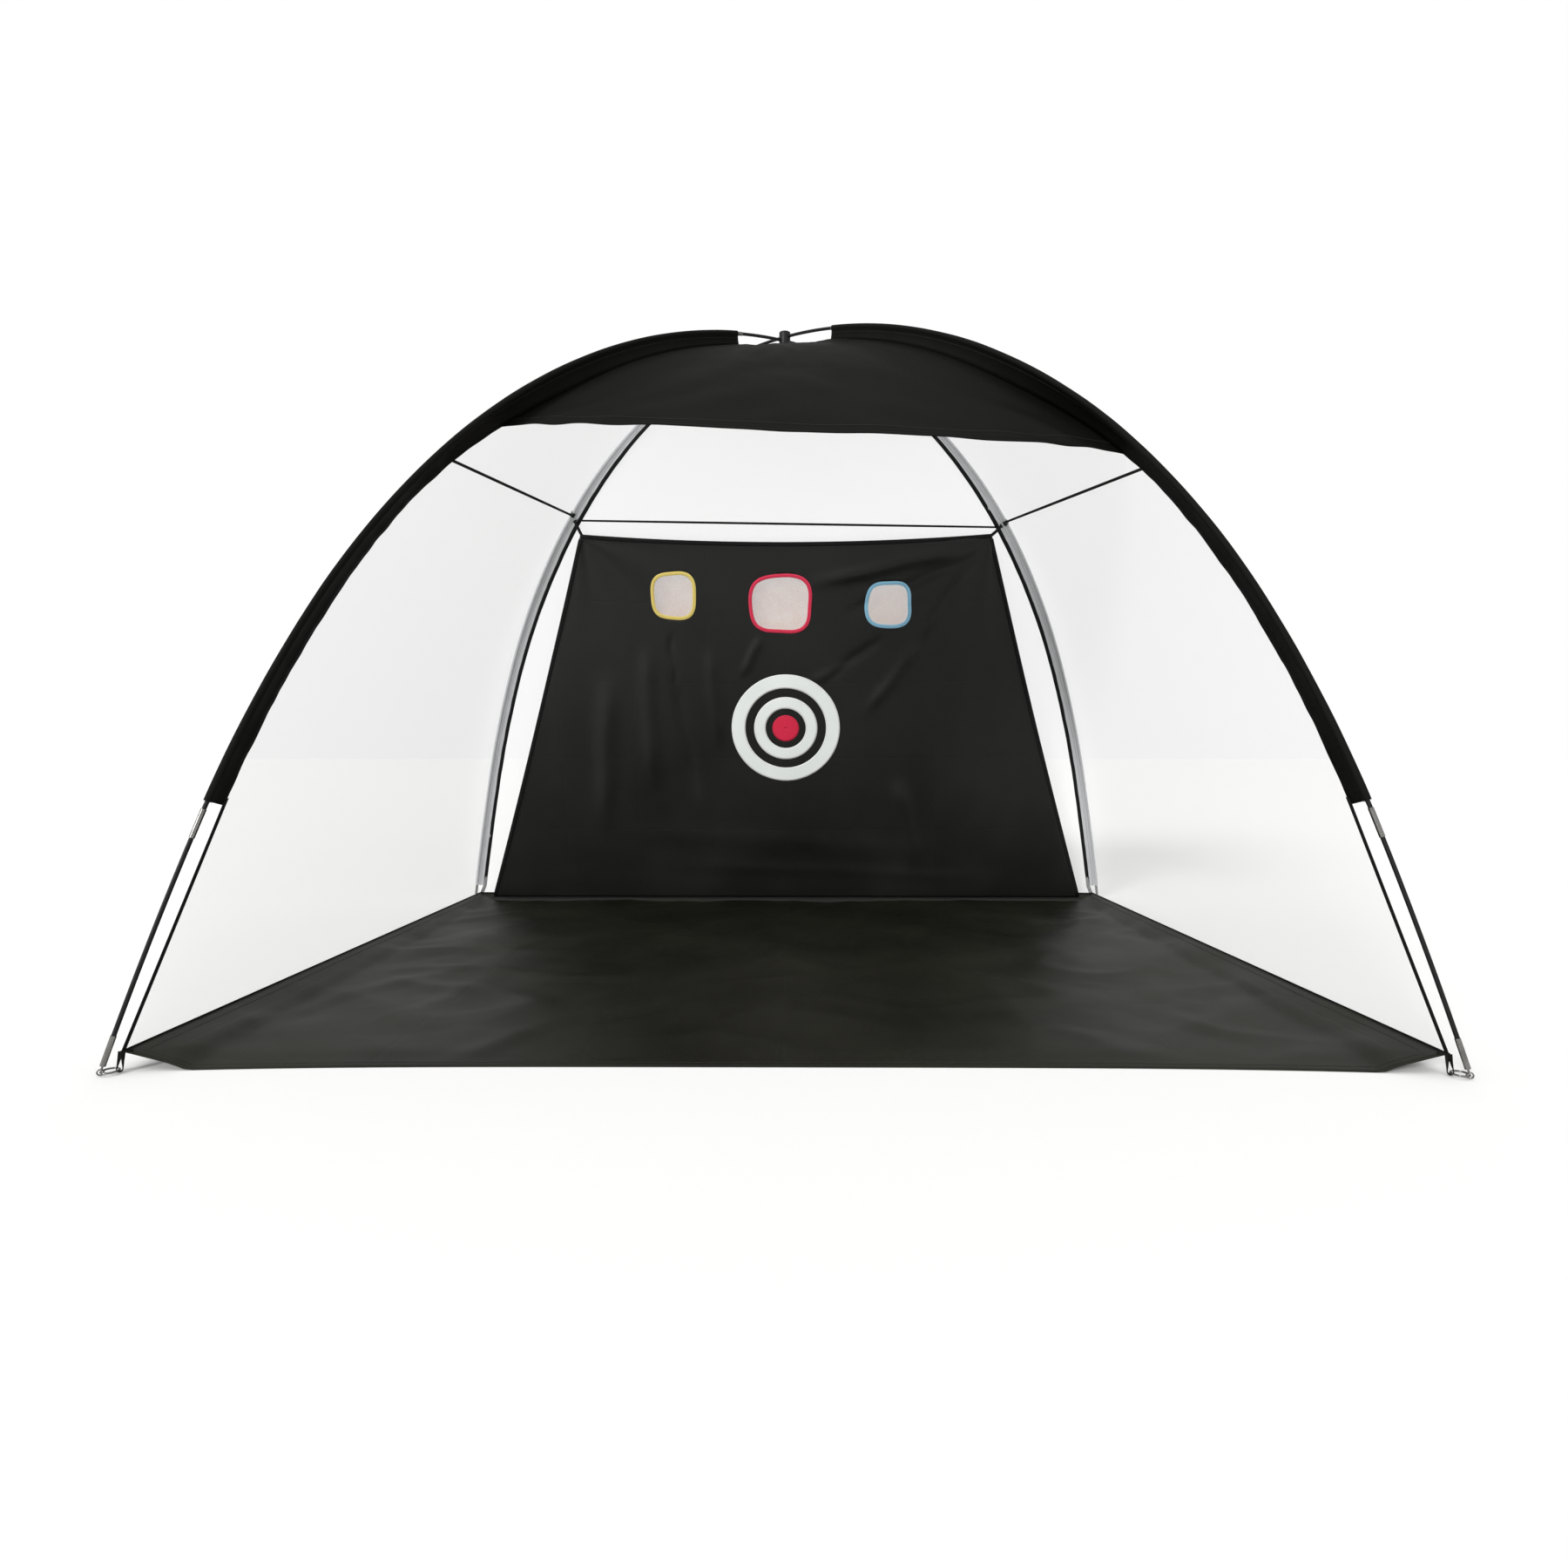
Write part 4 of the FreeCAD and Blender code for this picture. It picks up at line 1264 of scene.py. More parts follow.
@dataclass
class Canopy:
    """The black cloth over the top of the open front, hemmed along its lower edge."""

    left_edge: float = 1.630
    right_edge: float = 1.523
    bow: float = 0.026
    droop: float = 0.010
    wrinkle: float = 0.0055
    columns: int = 120
    rows: int = 50
    thickness: float = 0.9 * MM
    rays: int = 18
    ray_fade: float = 3.5
    hem_width: float = 0.012
    hem_thickness: float = 2.6 * MM
    hem_steps: int = 120

    def __post_init__(self) -> None:
        """Find where the lower edge meets the two bands."""
        self.bases = (FRONT_LEFT_FIN.rise_to(self.left_edge), FRONT_RIGHT_FIN.rise_to(self.right_edge))

    def point(self, across: float, up: float) -> Vector:
        """A point of the canopy with its soft folds."""
        left, right = (base + (PLAN.stop(FRONT_LEFT) - base) * up for base in self.bases)
        a = FRONT_LEFT_FIN.rim(left)
        b = FRONT_RIGHT_FIN.rim(right)
        flat = a.lerp(b, across)
        span = (b - a).length
        outward = flat - Vector((0.0, 0.35, 0.6))
        outward = (outward - (b - a) * outward.dot(b - a) / span**2).normalized()
        middle = 4 * across * (1 - across)
        belly = -self.droop * middle * (0.3 + 0.7 * math.sin(math.pi * up))
        fan = 0.0
        for away in (across, 1 - across):
            fan += math.sin(self.rays * math.atan2(up + 0.15, away + 0.02)) * math.exp(-self.ray_fade * away)
        cloud = noise.noise(Vector((across * 4.0, up * 3.2, 7.0))) * 1.3
        fine = noise.noise(Vector((across * 14.0, up * 9.0, 2.0))) * 0.4
        folds = self.wrinkle * (fan * 0.7 + cloud + fine) * smooth(middle * 2.5)
        bowed = self.bow * (1 - (2 * across - 1) ** 6) * (1 - up) ** 2
        return flat + outward * (belly + folds) + UP * bowed

    def build(self) -> None:
        """Lay the canopy, hem its lower edge and sew it."""
        made = Grid("front_canopy_cloth", self.point, self.columns, self.rows).build()
        dress(made, CANOPY_CLOTH, "black_cloth", nodes=["front_canopy"])
        thicken(made, self.thickness)
        declare_sheet(made)
        self.hem("canopy_front_hem", 0.0, 0.03)
        self.hem("canopy_crown_hem", 1.0, -0.03)
        rows = []
        for up in (0.045, 0.955):
            rows.append([self.point(n / 60, up) + Vector((0.0, -0.8 * MM, 0.5 * MM)) for n in range(61)])
        stitch_rows("canopy_stitching", rows, "black_cloth")

    def hem(self, name: str, up: float, step: float) -> None:
        """A rolled hem along the canopy's lower or upper edge."""
        stations = []
        for n in range(self.hem_steps + 1):
            share = n / self.hem_steps
            here = self.point(share, up)
            climb = (self.point(share, up + step) - here).normalized()
            ahead, behind = min(share + 0.01, 1.0), max(share - 0.01, 0.0)
            along = (self.point(ahead, up) - self.point(behind, up)).normalized()
            stations.append(Station(here + climb * 0.004, climb, along.cross(climb).normalized()))
        profile = tape_profile(self.hem_width, self.hem_thickness)
        dress(sweep(name, stations, profile), CANOPY_CLOTH, "black_cloth")


# ---- ground sheet --------------------------------------------------------------------------------


@dataclass
class GroundSheet:
    """The black cloth on the lawn, its corners pulled up to the rings by short straps."""

    hem: float = 0.035
    edge_draw: float = 0.038
    ridge: float = 0.014
    columns: int = 160
    rows: int = 130
    thickness: float = 1.0 * MM
    strap_width: float = 0.012
    strap_clearance: float = 3.6 * MM
    strap_thickness: float = 1.6 * MM
    strap_twist: float = math.radians(80.0)
    wire: float = 2.2 * MM

    def __post_init__(self) -> None:
        """Take the sheet's outline from the net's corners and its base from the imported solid."""
        corner = PLAN.corner(FRONT_RIGHT)
        self.half_width, self.half_depth = corner.x, -corner.y
        self.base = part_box("ground_sheet")[1][2] - self.thickness

    def relief(self, x: float, y: float, edge: float) -> float:
        """How high the laid cloth stands off the ground."""
        cloud = noise.noise(Vector((x * 1.6, y * 1.9, 4.0))) * 0.6 + 0.35
        lines = 1.0 - abs(noise.noise(Vector((x * 2.2 + y * 0.7, y * 3.4, 9.0)))) * 2.6
        far = 1.0 - abs(noise.noise(Vector((x * 3.1 - y * 1.7, y * 1.6, 21.0)))) * 3.2
        ripples = max(cloud * 0.4 + max(lines, 0.0) * 0.55 + max(far, 0.0) * 0.4, 0.0)
        return self.ridge * ripples * smooth(edge / 0.12) + PLAN.lift(x, y)

    def point(self, across: float, up: float) -> Vector:
        """A point of the sheet: its edges draw in a little between the pulled corners."""
        side, deep = across * 2 - 1, up * 2 - 1
        x = side * self.half_width
        y = deep * (self.half_depth - self.edge_draw * (1 - side**4) * max(-deep, 0.0) ** 3)
        edge = min((1 - abs(side)) * self.half_width, (1 - abs(deep)) * self.half_depth)
        doubled = 0.9 * MM * (1 - smooth((edge - self.hem) / 0.006))
        return Vector((x, y, self.base + self.relief(x, y, edge) + doubled))

    def build(self) -> None:
        """Lay the sheet, stitch its hem and strap its corners."""
        grid = Grid("ground_sheet_cloth", self.point, self.columns, self.rows, inside=Vector((0, 0, -5)))
        made = dress(grid.build(), SHEET_CLOTH, "black_cloth", nodes=["ground_sheet"])
        thicken(made, self.thickness)
        declare_sheet(made)
        across, up = self.hem / self.half_width * 0.42, self.hem / self.half_depth * 0.42
        corners = [(across, up), (1 - across, up), (1 - across, 1 - up), (across, 1 - up)]
        line = []
        for (ax, ay), (bx, by) in zip(corners, corners[1:] + corners[:1]):
            for n in range(80):
                share = n / 80
                line.append(self.point(ax + (bx - ax) * share, ay + (by - ay) * share) + UP * 0.4 * MM)
        stitch_rows("ground_sheet_stitching", [line], "black_cloth", ring=True)
        for number, edge in enumerate((FRONT_LEFT, FRONT_RIGHT, REAR_LEFT, REAR_RIGHT)):
            self.strap(edge, ["corner_straps"] if number == 0 else [])

    def strap(self, edge: HalfPole, nodes: Sequence[str]) -> None:
        """A short webbing strap: sewn on the lifted corner, down and round the ring, and back."""
        inward = edge.inward()
        sideways = UP.cross(inward)
        low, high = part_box(f"{edge.name}_ring")
        middle = Vector(((low[0] + high[0]) / 2, (low[1] + high[1]) / 2, (low[2] + high[2]) / 2))
        hold = middle + inward * (((high[0] - low[0]) + (high[1] - low[1])) / 4 - self.wire)
        corner = PLAN.corner(edge) + UP * (1.5 * MM)
        rise = (corner - hold).normalized()
        square = sideways.cross(rise).normalized()
        bend = self.wire + self.strap_clearance
        path = [corner + inward * 0.02 - UP * 0.004, corner + square * self.strap_thickness]
        for n in range(13):
            turn = math.pi * n / 12
            path.append(hold + square * (bend * math.cos(turn)) - rise * (bend * math.sin(turn)))
        path.append(corner - square * self.strap_thickness)
        stations = []
        for here, along in zip(path, directions(path)):
            twist = smooth((here - hold).dot(rise) / (corner - hold).length - 0.15) * self.strap_twist
            across = (Quaternion(along, twist) @ sideways).normalized()
            stations.append(Station(here, across, across.cross(along).normalized()))
        name = f"{edge.name}_corner_strap"
        black_tape(name, stations, self.strap_width, self.strap_thickness, nodes=nodes)


# ---- target --------------------------------------------------------------------------------------

# A point behind the target, which its sheets' faces turn away from.
BEHIND = Vector((0.0, 5.0, 0.8))


@dataclass(frozen=True)
class PocketShape:
    """A ball pocket's mouth as a rounded square, in the cloth's own frame."""

    name: str
    x: float
    width: float
    height: float
    finish: Finish
    slot: str
    skew: float
    y: float
    squareness: float = 3.3

    def reach(self, turn: float) -> float:
        """The distance from the middle to the mouth's edge in one direction."""
        c = abs(math.cos(turn) / (self.width / 2)) ** self.squareness
        s = abs(math.sin(turn) / (self.height / 2)) ** self.squareness
        wavy = 0.007 * math.sin(5 * turn + self.x * 9) - 0.02 * math.cos(3 * turn)
        return (c + s) ** (-1 / self.squareness) * (1 + self.skew * math.sin(turn) + wavy)

    def share(self, x: float, y: float) -> float:
        """How far out a point of the cloth lies: below one is inside the mouth."""
        dx, dy = x - self.x, y - self.y
        return math.hypot(dx, dy) / self.reach(math.atan2(dy, dx))

    def at(self, turn: float) -> tuple[float, float]:
        """A point on the mouth's edge."""
        r = self.reach(turn)
        return self.x + r * math.cos(turn), self.y + r * math.sin(turn)


POCKETS = (
    PocketShape("left", -0.482, 0.180, 0.188, YELLOW_TAPE, "yellow_binding", 0.04, 1.398),
    PocketShape("middle", -0.021, 0.256, 0.236, RED_TAPE, "red_binding", 0.03, 1.364),
    PocketShape("right", 0.444, 0.184, 0.184, BLUE_TAPE, "blue_binding", -0.05, 1.367),
)


@dataclass
class Target:
    """The hanging target cloth with its pockets, bullseye, hems and ties.

    In the cloth's own frame x runs across, y runs up it from its hem and lift comes out towards
    the open front.
    """

    hem_place: Vector = field(default_factory=lambda: Vector((0.0, 1.075, 0.019)))
    lean: float = math.radians(13.6)
    length: float = 1.655
    half_hem: float = 1.39
    half_top: float = 0.87
    sag: float = 0.032
    columns: int = 210
    rows: int = 124
    thickness: float = 0.9 * MM
    bullseye: float = 0.818
    fold_depth: float = 1.9
    loop_gap: float = 0.022
    tie_width: float = 0.013
    hem_width: float = 0.018
    rim_steps: int = 72
    patch_thickness: float = 0.8 * MM
    toggle_reach: float = 0.011
    toggle_radius: float = 0.0036

    def __post_init__(self) -> None:
        """Work out the directions up the cloth and out of its face."""
        self.up = Vector((0.0, -math.sin(self.lean), math.cos(self.lean)))
        self.out = Vector((0.0, -math.cos(self.lean), -math.sin(self.lean)))

    @staticmethod
    def ridge(x: float, y: float, a: tuple[float, float], b: tuple[float, float], width: float) -> float:
        """A soft fold along the line from a to b, fading at its ends.

        Args:
            x: The place across the cloth.
            y: The place up it.
            a: The fold's one end.
            b: Its other end.
            width: Its half width.

        Returns:
            The share of the fold's height there.
        """
        dx, dy = b[0] - a[0], b[1] - a[1]
        size = dx * dx + dy * dy
        t = ((x - a[0]) * dx + (y - a[1]) * dy) / size
        off = ((x - a[0]) * dy - (y - a[1]) * dx) / math.sqrt(size)
        off += 0.012 * noise.noise(Vector((t * 3.0, a[0] * 5.0, b[1] * 3.0)))
        return math.exp(-((off / width) ** 2)) * smooth(t * 4) * smooth((1 - t) * 3)

    def relief(self, x: float, y: float) -> float:
        """How far the cloth stands out of its plane: hanging folds, drag lines and waves."""
        folds = 0.0
        for a, b, width, depth in FOLDS:
            folds += self.fold_depth * depth * self.ridge(x, y, a, b, width)
        hang = noise.noise(Vector((x * 7.5, y * 0.9, 3.0)))
        hang = hang * smooth((y - 0.1) / 0.4) * smooth((1.5 - y) / 0.5)
        belly = noise.noise(Vector((x * 1.7, y * 1.5, 11.0)))
        corner = 0.0
        for side in (-1, 1):
            dx, dy = side * x - self.half_top, y - self.length
            far = math.hypot(dx, dy)
            turn = math.atan2(dy, dx)
            rays = math.sin(turn * (15 if side > 0 else 11) + side)
            corner += rays * math.exp(-far / 0.38) * smooth(far / 0.08)
        floor_wave = math.sin(y * 26 + 2.2 * noise.noise(Vector((x * 1.6, 0.0, 5.0))))
        floor_wave = floor_wave * smooth((0.24 - y) / 0.2)
        edge = smooth(min(self.half_at(y) - abs(x), y, self.length - y) / 0.03)
        total = folds + 4.5 * MM * hang + 8.0 * MM * belly + 5.0 * MM * corner + 1.3 * MM * floor_wave
        return total * (0.35 + 0.65 * edge)

    def half_at(self, y: float) -> float:
        """The cloth's half width at a height, its sides drawn in a little."""
        share = y / self.length
        return self.half_hem + (self.half_top - self.half_hem) * share - 0.008 * math.sin(math.pi * share)

    def place(self, x: float, y: float, lift: float = 0.0) -> Vector:
        """A point on the cloth in the model's frame, lifted off its face."""
        return self.hem_place + Vector((x, 0.0, 0.0)) + self.up * y + self.out * (self.relief(x, y) + lift)

    def point(self, across: float, up: float) -> Vector:
        """A point of the cloth by shares, its top edge sagging between the ties."""
        share = across * 2 - 1
        top = self.length - self.sag * (1 - share * share)
        y = up * top
        return self.place(share * self.half_at(y), y)

    def local(self, point: Vector) -> tuple[float, float]:
        """The cloth's own x and y of a point in the model's frame."""
        away = point - self.hem_place
        return away.x, away.dot(self.up)

    def build(self) -> None:
        """Build the cloth, then everything that is sewn on it."""
        cloth = self.cloth()
        for pocket in POCKETS:
            self.rim(pocket)
            self.bag(pocket)
        self.rings()
        self.hems()
        self.ties()
        declare_sheet(cloth)

    def cloth(self) -> Piece:
        """The sheet itself, cut out behind each pocket's mouth."""
        made = Grid("target_cloth_sheet", self.point, self.columns, self.rows, inside=BEHIND).build()
        self.cut_mouths(made)
        dress(made, TARGET_CLOTH, "black_cloth", TARGET_BODY, ["target_cloth"])
        thicken(made, self.thickness)
        return made

    def cut_mouths(self, made: Piece) -> None:
        """Remove the cloth inside each mouth and draw its cut edge onto the mouth's outline."""
        work = bmesh.new()
        work.from_mesh(made.data)
        gone = []
        for face in work.faces:
            x, y = self.local(face.calc_center_median())
            if any(p.share(x, y) < 1.0 for p in POCKETS):
                gone.append(face)
        bmesh.ops.delete(work, geom=gone, context="FACES")
        for vertex in work.verts:
            x, y = self.local(vertex.co)
            for pocket in POCKETS:
                if vertex.is_boundary and 0.8 < pocket.share(x, y) < 1.25:
                    turn = math.atan2(y - pocket.y, x - pocket.x)
                    vertex.co = self.place(*pocket.at(turn))
        work.to_mesh(made.data)
        work.free()

    def around(self, pocket: PocketShape, count: int, lift: float) -> list[Vector]:
        """A closed path round a mouth's edge."""
        return [self.place(*pocket.at(t), lift) for t in even_turns(count)]

    def rim(self, pocket: PocketShape) -> None:
        """The coloured tape bound round a mouth, crowned and stitched on its inner edge."""
        stations = []
        for turn in even_turns(self.rim_steps):
            x, y = pocket.at(turn)
            (ax, ay), (bx, by) = pocket.at(turn - 0.05), pocket.at(turn + 0.05)
            across = (self.up * -(bx - ax) + Vector((by - ay, 0.0, 0.0))).normalized()
            stations.append(Station(self.place(x, y, 2.2 * MM), across, self.out))
        profile = tape_profile(0.017, 4.6 * MM, 0.25)
        made = sweep(f"{pocket.name}_pocket_binding", stations, profile, ring=True)
        made.modifiers.new("round", "SUBSURF").levels = 1
        made.modifiers["round"].render_levels = 1
        dress(made, pocket.finish, pocket.slot, TARGET_BODY, [f"{pocket.name}_pocket_rim"])
        sewn = Stitching(pocket.finish, pitch=6.0 * MM, length=4.0 * MM)
        line = self.around(pocket, self.rim_steps, 5.2 * MM)
        stitch_rows(f"{pocket.name}_pocket_stitching", [line], pocket.slot, TARGET_BODY, True, sewn)

    def bag(self, pocket: PocketShape) -> None:
        """The net bag behind a mouth: a diamond net of real threads that bellies to the rear."""
        pitch, depth, droop = 6.2 * MM, 0.038, 0.012
        reach = max(pocket.width, pocket.height) * 0.75
        count = round(reach / pitch)
        numbers: dict[tuple[int, int], int] = {}
        points: list[Vector] = []
        for i in range(-count, count + 1):
            for j in range(-count, count + 1):
                x = pocket.x + (i - j) * pitch / math.sqrt(2)
                y = pocket.y + (i + j) * pitch / math.sqrt(2)
                share = pocket.share(x, y)
                if share > 1.03:
                    continue
                belly = max(1 - min(share, 1.0) ** 2.6, 0.0)
                folds = 2.2 * MM * math.sin(i * 0.5) * math.cos(j * 0.42) * belly
                numbers[i, j] = len(points)
                lower = self.place(x, y - droop * belly, -2.0 * MM) - self.out * (depth * belly**0.6 + folds)
                points.append(lower)
        edges = [(n, numbers[i + 1, j]) for (i, j), n in numbers.items() if (i + 1, j) in numbers]
        edges += [(n, numbers[i, j + 1]) for (i, j), n in numbers.items() if (i, j + 1) in numbers]
        made = Threads(PALE_THREAD).run(new_object(f"{pocket.name}_pocket_net", points, [], edges))
        dress(made, PALE_THREAD, "pale_netting", TARGET_BODY, [f"{pocket.name}_pocket_bag"])

    def disc(self, name: str, inner: float, outer: float) -> Piece:
        """A flat ring of cloth laid on the target, following its folds."""

        def at(across: float, up: float) -> Vector:
            turn = 2 * math.pi * across
            r = inner + (outer - inner) * up
            edge = 0.5 * MM * smooth(min(r - inner, outer - r) / (2 * MM)) if inner else 0.5 * MM
            return self.place(r * math.cos(turn), self.bullseye + r * math.sin(turn), 0.7 * MM + edge)

        rows = max(round((outer - inner) / 0.008), 6)
        made = Grid(name, at, 96, rows, closed=True, inside=BEHIND).build()
        flat = [self.local(v.co) for v in made.data.vertices]
        made.data.uv_layers.remove(made.data.uv_layers[CLOTH_UV])
        lay_uv(made, flat)
        return made

    def rings(self) -> None:
        """The bullseye: two white rings and a red spot, each sewn down round its edges."""
        for name, radii, finish, slot, nodes in (
            ("outer_target_ring", (0.181, 0.243), WHITE_PATCH, "white_applique", ["target_rings"]),
            ("inner_target_ring", (0.09, 0.142), WHITE_PATCH, "white_applique", []),
            ("target_centre_spot", (0.0005, 0.06), RED_PATCH, "red_applique", ["target_spot"]),
        ):
            thicken(dress(self.disc(name, *radii), finish, slot, TARGET_BODY, nodes), self.patch_thickness)
        for name, thread, slot, radii in (
            ("target_ring_stitching", PALE_THREAD, "white_applique", (0.239, 0.185, 0.138, 0.094)),
            ("target_spot_stitching", SEWING_THREAD, "red_applique", (0.056,)),
        ):
            lines = []
            for r in radii:
                circle = [(r * math.cos(t), self.bullseye + r * math.sin(t)) for t in even_turns(90)]
                lines.append([self.place(x, y, 1.4 * MM) for x, y in circle])
            sewn = Stitching(thread, pitch=5.0 * MM, length=3.4 * MM)
            stitch_rows(name, lines, slot, TARGET_BODY, True, sewn)

    def edge_line(self, side: int, inset_by: float, lift: float) -> list[Vector]:
        """A path up one side of the cloth, a little in from its edge."""
        rows = [0.01 + (self.length - 0.03) * n / 60 for n in range(61)]
        return [self.place(side * (self.half_at(y) - inset_by), y, lift) for y in rows]

    def top_line(self, drop: float, lift: float) -> list[Vector]:
        """A path along the sagging top edge."""
        line = []
        for n in range(81):
            share = n / 40 - 1
            y = self.length - self.sag * (1 - share * share) - drop
            line.append(self.place(share * (self.half_at(y) - 0.006), y, lift))
        return line

    def hems(self) -> None:
        """Bind the cloth's sides and top with black tape and sew them."""
        for name, line in (
            ("target_left_hem", self.edge_line(-1, 0.007, 0.6 * MM)),
            ("target_right_hem", self.edge_line(1, 0.007, 0.6 * MM)),
            ("target_top_hem", self.top_line(0.007, 0.6 * MM)),
        ):
            stations = []
            for here, along in zip(line, directions(line)):
                stations.append(Station(here, self.out.cross(along).normalized(), self.out))
            black_tape(name, stations, self.hem_width, 3.0 * MM, TARGET_BODY)
        rows = [self.edge_line(side, 0.02, 1.1 * MM) for side in (-1, 1)]
        rows.append(self.top_line(0.02, 1.1 * MM))
        stitch_rows("target_hem_stitching", rows, "black_cloth", TARGET_BODY)

    def ties(self) -> None:
        """A short strap from each top corner to just short of the loop on the rear pole."""
        for side, word, edge in ((-1, "left", REAR_LEFT), (1, "right", REAR_RIGHT)):
            start = self.place(side * (self.half_top - 0.012), self.length - 0.012, 1.5 * MM)
            loop = edge.point(PLAN.seam(edge))
            end = loop + (start - loop).normalized() * self.loop_gap
            along = (end - start).normalized()
            across = along.cross(self.out).normalized()
            out = across.cross(along).normalized()
            stations = []
            for n in range(13):
                t = n / 12
                sagged = start.lerp(end, t) - UP * (0.003 * math.sin(math.pi * t))
                stations.append(Station(sagged, across, out))
            nodes = ["target_ties"] if side < 0 else []
            black_tape(f"target_tie_{word}", stations, self.tie_width, 2.6 * MM, TARGET_BODY, nodes)
            self.toggle(f"target_toggle_{word}", end - along * 0.004, across)

    def toggle(self, name: str, centre: Vector, axis: Vector) -> None:
        """The small moulded bar at a tie's end that catches in the loop."""
        side = axis.cross(UP).normalized()
        out = side.cross(axis).normalized()
        stations = []
        for n in range(13):
            t = n / 6 - 1
            size = math.sqrt(max(1 - t**4, 0.02))
            stations.append(Station(centre + axis * (self.toggle_reach * t), side * size, out * size))
        made = sweep(name, stations, circle_profile(self.toggle_radius))
        dress(made, CLIP_PLASTIC, "black_plastic", TARGET_BODY)


# The target's hanging folds: the fold's two ends on the cloth, its half width and its height.
FOLDS = (
    ((-0.50, 1.26), (-0.49, 0.98), 0.012, -0.0045),
    ((-0.62, 1.22), (-0.60, 0.50), 0.035, 0.0085),
    ((-0.50, 1.10), (-0.40, 0.42), 0.030, -0.0075),
    ((-0.78, 1.10), (-0.84, 0.30), 0.045, 0.0090),
    ((-0.34, 1.20), (-0.30, 0.70), 0.026, 0.0060),
    ((0.84, 1.61), (0.05, 1.44), 0.026, 0.0085),
    ((0.82, 1.58), (0.22, 1.30), 0.022, -0.0070),
    ((0.80, 1.55), (0.56, 1.18), 0.026, 0.0075),
    ((0.60, 1.22), (0.34, 0.86), 0.024, 0.0060),
    ((0.44, 1.24), (0.16, 1.02), 0.020, -0.0045),
    ((-0.10, 1.24), (-0.20, 1.04), 0.018, 0.0050),
    ((0.10, 1.02), (0.30, 1.12), 0.018, 0.0035),
    ((0.50, 0.60), (0.62, 0.10), 0.040, 0.0070),
    ((-0.90, 0.34), (0.90, 0.22), 0.050, 0.0020),
    ((-0.60, 0.16), (1.10, 0.10), 0.030, 0.0018),
)


# ---- hard parts ----------------------------------------------------------------------------------


@dataclass
class HardParts:
    """The CAD nodes that keep their own shape and get their real finish."""

    def finishes(self) -> dict[str, Finish]:
        """Which finish each kept node takes."""
        endings = {
            "pole_section": FIBREGLASS,
            "ferrules": PLATED_STEEL,
            "_ring": PLATED_STEEL,
            "pole_tips": PLATED_STEEL,
            "anchor_pins": PLATED_STEEL,
            "shock_cord": ELASTIC_CORD,
            "crossing_clip": CLIP_PLASTIC,
            "rear_pole_loops": STRAP_WEBBING,
        }
        chosen: dict[str, Finish] = {}
        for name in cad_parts:
            for ending, finish in endings.items():
                if name.rstrip("_0123456789").endswith(ending):
                    chosen[name] = finish
        return chosen

    def build(self) -> None:
        """Set each kept node's material slots."""
        for name, finish in self.finishes().items():
            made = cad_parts[name]
            if not made.data.materials:
                made.data.materials.append(None)
            for slot in made.material_slots:
                slot.link = "OBJECT"
                slot.material = finish.material()
            LOG.info("%s: kept, %s", name, finish.name)


# ---- studio --------------------------------------------------------------------------------------


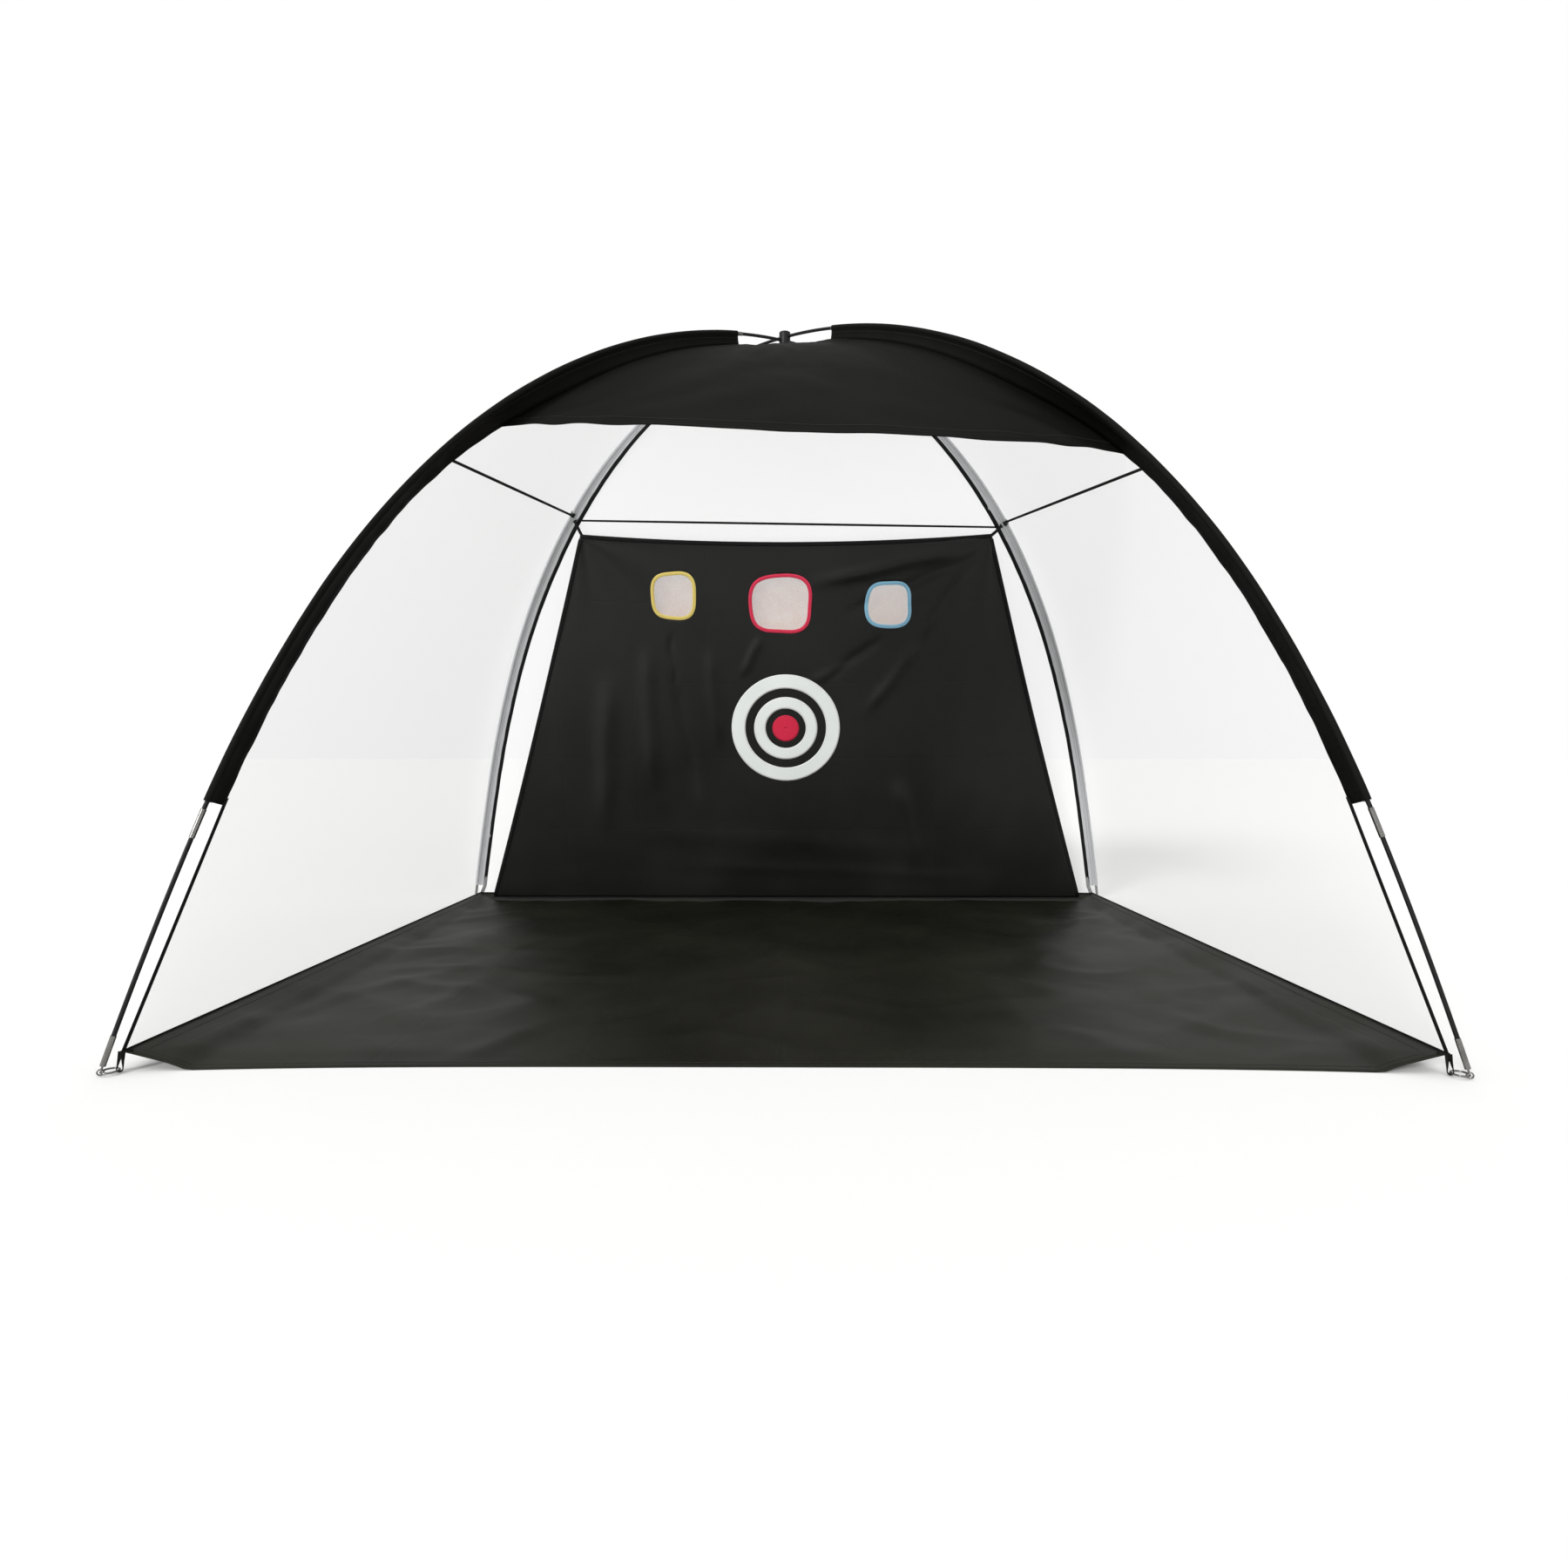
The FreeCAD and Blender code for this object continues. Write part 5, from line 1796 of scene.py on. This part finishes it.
@dataclass
class Studio:
    """The pale floor, the soft lights and the camera."""

    camera_place: Vector = field(default_factory=lambda: Vector((0.0150, -3.0415, 0.7215)))
    down_tilt: float = 0.04
    left_turn: float = 0.0058
    lens: float = 20.03
    sensor: float = 36.0
    backdrop: float = 1.0
    ambient: float = 0.78
    half_floor: float = 60.0

    def camera(self) -> None:
        """Stand low in front of the opening with a wide lens."""
        data = bpy.data.cameras.new("view")
        data.lens = self.lens
        data.sensor_width = self.sensor
        data.clip_end = 200.0
        made = bpy.data.objects.new("view", data)
        made.location = self.camera_place
        made.rotation_euler = (math.pi / 2 - self.down_tilt, 0.0, self.left_turn)
        bpy.context.scene.collection.objects.link(made)
        bpy.context.scene.camera = made

    def floor(self) -> None:
        """A wide pale floor."""
        signs = ((-1, -1), (1, -1), (1, 1), (-1, 1))
        corners = [Vector((x * self.half_floor, y * self.half_floor, 0.0)) for x, y in signs]
        made = new_object("studio_floor", corners, [(0, 1, 2, 3)])
        paint = bpy.data.materials.new("matte_studio_floor")
        paint.use_nodes = True
        shader = paint.node_tree.nodes["Principled BSDF"]
        shader.inputs["Base Color"].default_value = linear(Colour.PALE_FLOOR)
        shader.inputs["Roughness"].default_value = 0.9
        made.data.materials.append(paint)

    def light(self, name: str, place: tuple[float, float, float], spread: float, power: float) -> None:
        """One distant soft light, shining from a place towards the origin."""
        data = bpy.data.lights.new(name, "SUN")
        data.angle = math.radians(spread)
        data.energy = power
        made = bpy.data.objects.new(name, data)
        made.location = place
        made.rotation_euler = (-Vector(place)).to_track_quat("-Z", "Y").to_euler()
        bpy.context.scene.collection.objects.link(made)

    def world(self) -> None:
        """A white backdrop that is brighter to the eye than the light that it gives."""
        world = bpy.data.worlds.new("studio")
        world.use_nodes = True
        tree = world.node_tree
        back = tree.nodes["Background"]
        back.inputs["Color"].default_value = linear(Colour.STUDIO_WHITE)
        seen = add(tree, "ShaderNodeLightPath")
        inputs = {0: seen.outputs["Is Camera Ray"], 3: self.ambient, 4: self.backdrop}
        power = add(tree, "ShaderNodeMapRange", inputs)
        tree.links.new(power.outputs[0], back.inputs["Strength"])
        bpy.context.scene.world = world

    def build(self) -> None:
        """Set up the world, the lights, the floor and the camera."""
        bpy.context.scene.view_settings.view_transform = "Standard"
        self.world()
        # A soft key from the front left, a weak broad fill from the right and a wide light from above.
        self.light("key", (-6.0, -8.0, 4.2), 14.0, 2.2)
        self.light("fill", (6.0, -9.0, 2.0), 30.0, 0.2)
        self.light("top", (-0.5, -3.0, 9.0), 50.0, 0.7)
        self.floor()
        self.camera()


def main() -> None:
    """Build the studio and every sub-assembly."""
    logging.basicConfig(level=logging.INFO, format="%(message)s")
    for part in (Studio(), HardParts(), Sleeves(), Nets(), Canopy(), GroundSheet(), Target()):
        LOG.info("building %s", type(part).__name__)
        part.build()


if __name__ == "__main__":
    main()
